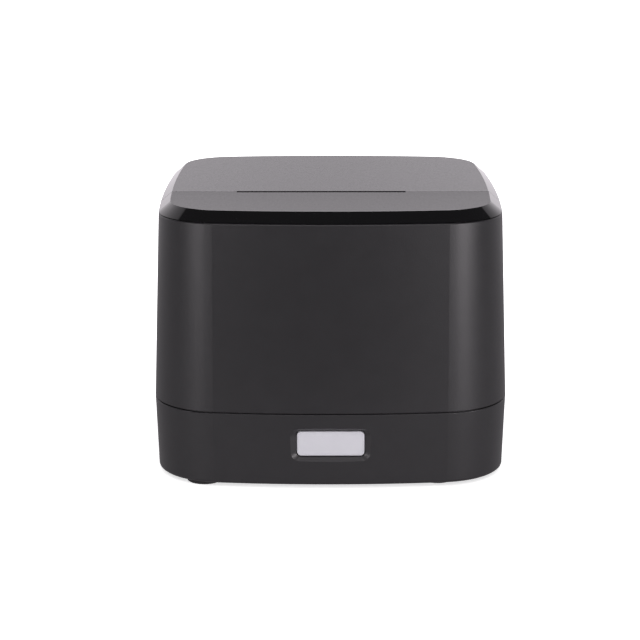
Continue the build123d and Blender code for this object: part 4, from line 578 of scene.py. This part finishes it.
def rocker_places():
    """Where the bar and the ring lie on the two slopes of the rocker."""
    low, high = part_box("power_rocker")
    middle = (low + high) / 2
    rocker = NODES["power_rocker"].data
    rocker.calc_loop_triangles()
    places = {}
    for name, side in (("rocker_bar", 1), ("rocker_ring", -1)):
        best = None
        for tri in rocker.loop_triangles:
            centre = sum((rocker.vertices[v].co for v in tri.vertices), Vector()) / 3
            outward = tri.normal.y > FACES_ALONG and (centre.x - middle.x) * side > 0
            if outward and (best is None or tri.area > best[0]):
                best = (tri.area, tri.normal.copy(), centre)
        if best is None:
            raise RuntimeError("no sloping face found on the rocker")
        normal, point = best[1:]
        x = middle.x + side * (high.x - low.x) * MARK_ASIDE
        y = point.y - (normal.x * (x - point.x) + normal.z * (middle.z - point.z)) / normal.y
        turn = math.atan2(-normal.x, normal.y)
        places[name] = Matrix.Translation((x, y, middle.z)) @ Matrix.Rotation(turn, 4, "Z")
    return places


# ---------------------------------------------------------------- stage
# Places are in metres, and headings in degrees round the case from straight behind it
# Low light panels stand round the front: how far off, how tall and how far above the floor
PANEL_AWAY = 1.25
PANEL_TALL = 0.3
PANEL_LIFT = 0.01
# Each has a narrower and brighter core. Name, share of that side's power, heading and width
LEFT_PANELS = (("left_panel", 1.0, -135, 0.9), ("left_core", 1.15, -140, 0.45))
RIGHT_PANELS = (("right_panel", 1.0, 135, 0.9), ("right_core", 0.95, 139, 0.45))
# Softboxes hang above the front and the rear: place, then width and depth
FRONT_SOFTBOX = ((0.0, -0.9, 0.85), (0.8, 0.4))
REAR_SOFTBOX = ((0.0, 0.75, 1.3), (0.8, 0.6))
# All lamps face this height on the case's axis
AIM_HEIGHT = 0.07

WHITE = (1.0, 1.0, 1.0, 1.0)
FLOOR_SIZE = 8.0
# For the camera the floor glows up to white, less near the case, and this far behind it
GLOW_NEAR, GLOW_FAR = 0.62, 1.0
GLOW_FROM, GLOW_TO = 0.1, 0.6
# In gloss it shows painted light and shade: dim near the case, nearly white this far behind it, and
# nearly black in front
MIRROR_NEAR, MIRROR_FAR = 0.37, 0.95
MIRROR_FROM, MIRROR_TO = 0.3, 0.9
FRONT_LEVEL = 0.05
FRONT_FROM, FRONT_TO = -0.3, -0.2

# In gloss the room is a bright backdrop behind the case and dim elsewhere, by the ray's direction
ROOM_DIM = 0.07
# The backdrop's top edge: how high, how much higher to the left, and how soft
EDGE_RISE = 0.657
EDGE_SLOPE = 0.121
EDGE_SOFT = 0.008
# It fades from here up to its edge, to this level
FADE_FROM = 0.32
FADE_LEVEL = 0.45
# It ends between these two directions at the sides
BEHIND_FROM, BEHIND_TO = 0.2, 0.42
# Its middle is at this level, and full brightness is reached between these two directions
MIDDLE_LEVEL = 0.75
MIDDLE_FROM, MIDDLE_TO = 0.02, 0.2

SENSOR_MM = 36.0
CAMERA_SHIFT = -0.01601
CLIP_START = 0.05


def in_mirror(tree, path):
    """1 for rays that a shiny or clear surface sends on."""
    return node(tree, "Math", {0: path.outputs["Is Glossy Ray"], 1: path.outputs["Is Transmission Ray"]},
                operation="MAXIMUM").outputs["Value"]


class PRINTER_OT_stage(bpy.types.Operator):
    """Pale floor, studio light and the camera."""
    bl_idname = "printer.stage"
    bl_label = "Stage"

    def execute(self, context):
        size = context.scene.printer_studio
        self.make_floor(size)
        self.make_room(context, size)
        for power, panels in ((size.left_power, LEFT_PANELS), (size.right_power, RIGHT_PANELS)):
            for name, share, heading, width in panels:
                turn = math.radians(heading)
                place = (PANEL_AWAY * math.sin(turn), PANEL_AWAY * math.cos(turn),
                         PANEL_TALL / 2 + PANEL_LIFT)
                self.make_lamp(size, name, power * share, place, (width, PANEL_TALL))
        self.make_lamp(size, "front_softbox", size.front_power, *FRONT_SOFTBOX)
        self.make_lamp(size, "rear_softbox", size.back_power, *REAR_SOFTBOX)
        self.make_camera(context, size)
        context.scene.view_settings.view_transform = "Standard"
        return {"FINISHED"}

    def make_floor(self, size):
        """Pale board that keeps the printer's soft shadow."""
        deselect_all()
        bpy.ops.mesh.primitive_plane_add(size=FLOOR_SIZE, location=(0, 0, 0))
        floor = active_piece()
        floor.name = "floor"
        # Painted board: plain, matt and very slightly uneven
        material, tree, shader = finish("pale_board", "f0f0f1", 0.9)
        shader.inputs["Specular IOR Level"].default_value = 0.0
        tint(tree, shader, grain(tree, 20.0), "efeff0", "f2f2f2")
        path = node(tree, "LightPath")
        place = node(tree, "SeparateXYZ", {"Vector": node(tree, "TexCoord").outputs["Object"]})
        rising = node(tree, "MapRange", {"Value": place.outputs["Y"], "From Min": GLOW_FROM,
                                         "From Max": GLOW_TO, "To Min": GLOW_NEAR, "To Max": GLOW_FAR})
        lift = node(tree, "Math", {0: path.outputs["Is Camera Ray"], 1: rising.outputs["Result"]},
                    operation="MULTIPLY")
        glow = node(tree, "Emission", {"Color": WHITE, "Strength": lift.outputs["Value"]})
        seen = node(tree, "AddShader", {0: shader.outputs["BSDF"], 1: glow.outputs["Emission"]})
        # Painted light and shade on the floor for gloss: dim near the case, nearly white far behind,
        # nearly black in front
        far = node(tree, "MapRange", {"Value": place.outputs["Y"], "From Min": MIRROR_FROM,
                                      "From Max": MIRROR_TO, "To Min": MIRROR_NEAR,
                                      "To Max": MIRROR_FAR})
        front = node(tree, "MapRange", {"Value": place.outputs["Y"], "From Min": FRONT_FROM,
                                        "From Max": FRONT_TO, "To Min": FRONT_LEVEL, "To Max": 1.0})
        level = node(tree, "Math", {0: far.outputs["Result"], 1: front.outputs["Result"]},
                     operation="MULTIPLY")
        mirrored = node(tree, "Emission", {"Color": linear(size.room_colour),
                                           "Strength": level.outputs["Value"]})
        surface = node(tree, "MixShader", {0: in_mirror(tree, path), 1: seen.outputs[0],
                                           2: mirrored.outputs[0]})
        tree.links.new(surface.outputs[0], tree.nodes["Material Output"].inputs["Surface"])
        floor.data.materials.append(material)

    def make_room(self, context, size):
        """White for the camera, even light on the printer, a backdrop in a dim room for its gloss."""
        world = bpy.data.worlds.new("studio_room")
        context.scene.world = world
        world.use_nodes = True
        world.cycles.sampling_method = "NONE"
        tree = world.node_tree
        path = node(tree, "LightPath")
        heading = node(tree, "SeparateXYZ", {"Vector": node(tree, "TexCoord").outputs["Generated"]})
        rise = node(tree, "Math", {0: heading.outputs["X"], 1: EDGE_SLOPE, 2: heading.outputs["Z"]},
                    operation="MULTIPLY_ADD").outputs["Value"]
        under_edge = node(tree, "MapRange", {"Value": rise, "From Min": EDGE_RISE - EDGE_SOFT,
                                             "From Max": EDGE_RISE + EDGE_SOFT,
                                             "To Min": 1.0, "To Max": 0.0})
        fade = node(tree, "MapRange", {"Value": rise, "From Min": FADE_FROM, "From Max": EDGE_RISE,
                                       "To Min": 1.0, "To Max": FADE_LEVEL})
        behind = node(tree, "MapRange", {"Value": heading.outputs["Y"], "From Min": BEHIND_FROM,
                                         "From Max": BEHIND_TO})
        lit = node(tree, "Math", {0: under_edge.outputs["Result"], 1: behind.outputs["Result"]},
                   operation="MULTIPLY")
        backdrop = node(tree, "Math", {0: lit.outputs["Value"], 1: fade.outputs["Result"]},
                        operation="MULTIPLY")
        aside = node(tree, "Math", {0: heading.outputs["X"]}, operation="ABSOLUTE")
        middle = node(tree, "MapRange", {"Value": aside.outputs["Value"], "From Min": MIDDLE_FROM,
                                         "From Max": MIDDLE_TO, "To Min": MIDDLE_LEVEL, "To Max": 1.0})
        backdrop = node(tree, "Math", {0: backdrop.outputs["Value"], 1: middle.outputs["Result"]},
                        operation="MULTIPLY")
        seen = node(tree, "MapRange", {"Value": backdrop.outputs["Value"], "To Min": ROOM_DIM,
                                       "To Max": 1.0})
        fill = node(tree, "Background", {"Color": WHITE, "Strength": size.fill})
        room = node(tree, "Background", {"Color": linear(size.room_colour),
                                         "Strength": seen.outputs["Result"]})
        white = node(tree, "Background", {"Color": WHITE, "Strength": 1.0})
        inner = node(tree, "MixShader", {0: in_mirror(tree, path), 1: fill.outputs[0],
                                         2: room.outputs[0]})
        outer = node(tree, "MixShader", {0: path.outputs["Is Camera Ray"], 1: inner.outputs[0],
                                         2: white.outputs[0]})
        tree.links.new(outer.outputs[0], tree.nodes["World Output"].inputs["Surface"])

    def make_lamp(self, size, name, power, place, shape):
        """A rectangular area lamp that faces the case."""
        lamp = bpy.data.lights.new(name, "AREA")
        lamp.shape = "RECTANGLE"
        lamp.size, lamp.size_y = shape
        lamp.energy = power
        lamp.color = size.lamp_colour
        thing = bpy.data.objects.new(name, lamp)
        bpy.context.collection.objects.link(thing)
        thing.location = place
        aim = Vector((0, 0, AIM_HEIGHT)) - thing.location
        thing.rotation_euler = aim.to_track_quat("-Z", "Y").to_euler()

    def make_camera(self, context, size):
        """The camera in front of the case, a little to the left and looking down."""
        camera = bpy.data.cameras.new("camera")
        camera.lens = size.lens_mm
        camera.sensor_width = SENSOR_MM
        camera.shift_x = CAMERA_SHIFT
        camera.clip_start = CLIP_START
        thing = bpy.data.objects.new("camera", camera)
        context.collection.objects.link(thing)
        turn = -size.camera_turn
        thing.location = (math.sin(turn) * size.camera_distance, -math.cos(turn) * size.camera_distance,
                          size.camera_height)
        thing.rotation_euler = (math.pi / 2 - size.camera_pitch, 0, turn)
        context.scene.camera = thing


# ---------------------------------------------------------------- panel and registration
class PRINTER_PT_panel(bpy.types.Panel):
    """Every value and every step, in the sidebar."""
    bl_label = "Receipt Printer"
    bl_idname = "PRINTER_PT_panel"
    bl_space_type = "VIEW_3D"
    bl_region_type = "UI"
    bl_category = "Receipt Printer"

    def draw(self, context):
        for group, steps in ((context.scene.printer_finish, FINISH_STEPS),
                             (context.scene.printer_fittings, FITTING_STEPS),
                             (context.scene.printer_studio, STAGE_STEPS)):
            box = self.layout.box()
            for name in group.__annotations__:
                box.prop(group, name)
            for step in steps:
                box.operator(step.bl_idname)


FINISH_STEPS = [PRINTER_OT_case_finish, PRINTER_OT_top_finish, PRINTER_OT_key_finish,
                PRINTER_OT_rubber_finish, PRINTER_OT_metal_finish, PRINTER_OT_inner_finish]
FITTING_STEPS = [PRINTER_OT_contacts, PRINTER_OT_rocker_marks]
STAGE_STEPS = [PRINTER_OT_stage]
GROUPS = {"printer_finish": PrinterFinish, "printer_fittings": PrinterFittings,
          "printer_studio": PrinterStudio}
CLASSES = [*GROUPS.values(), *FINISH_STEPS, *FITTING_STEPS, *STAGE_STEPS, PRINTER_PT_panel]


def register():
    """Adds the classes, and the values to each scene."""
    for item in CLASSES:
        bpy.utils.register_class(item)
    for name, group in GROUPS.items():
        setattr(bpy.types.Scene, name, PointerProperty(type=group))


def unregister():
    """Takes them away again."""
    for name in GROUPS:
        delattr(bpy.types.Scene, name)
    for item in reversed(CLASSES):
        bpy.utils.unregister_class(item)


def main():
    """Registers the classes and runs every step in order."""
    register()
    for step in FINISH_STEPS + FITTING_STEPS + STAGE_STEPS:
        group, name = step.bl_idname.split(".")
        getattr(getattr(bpy.ops, group), name)()


if __name__ == "__main__":
    main()
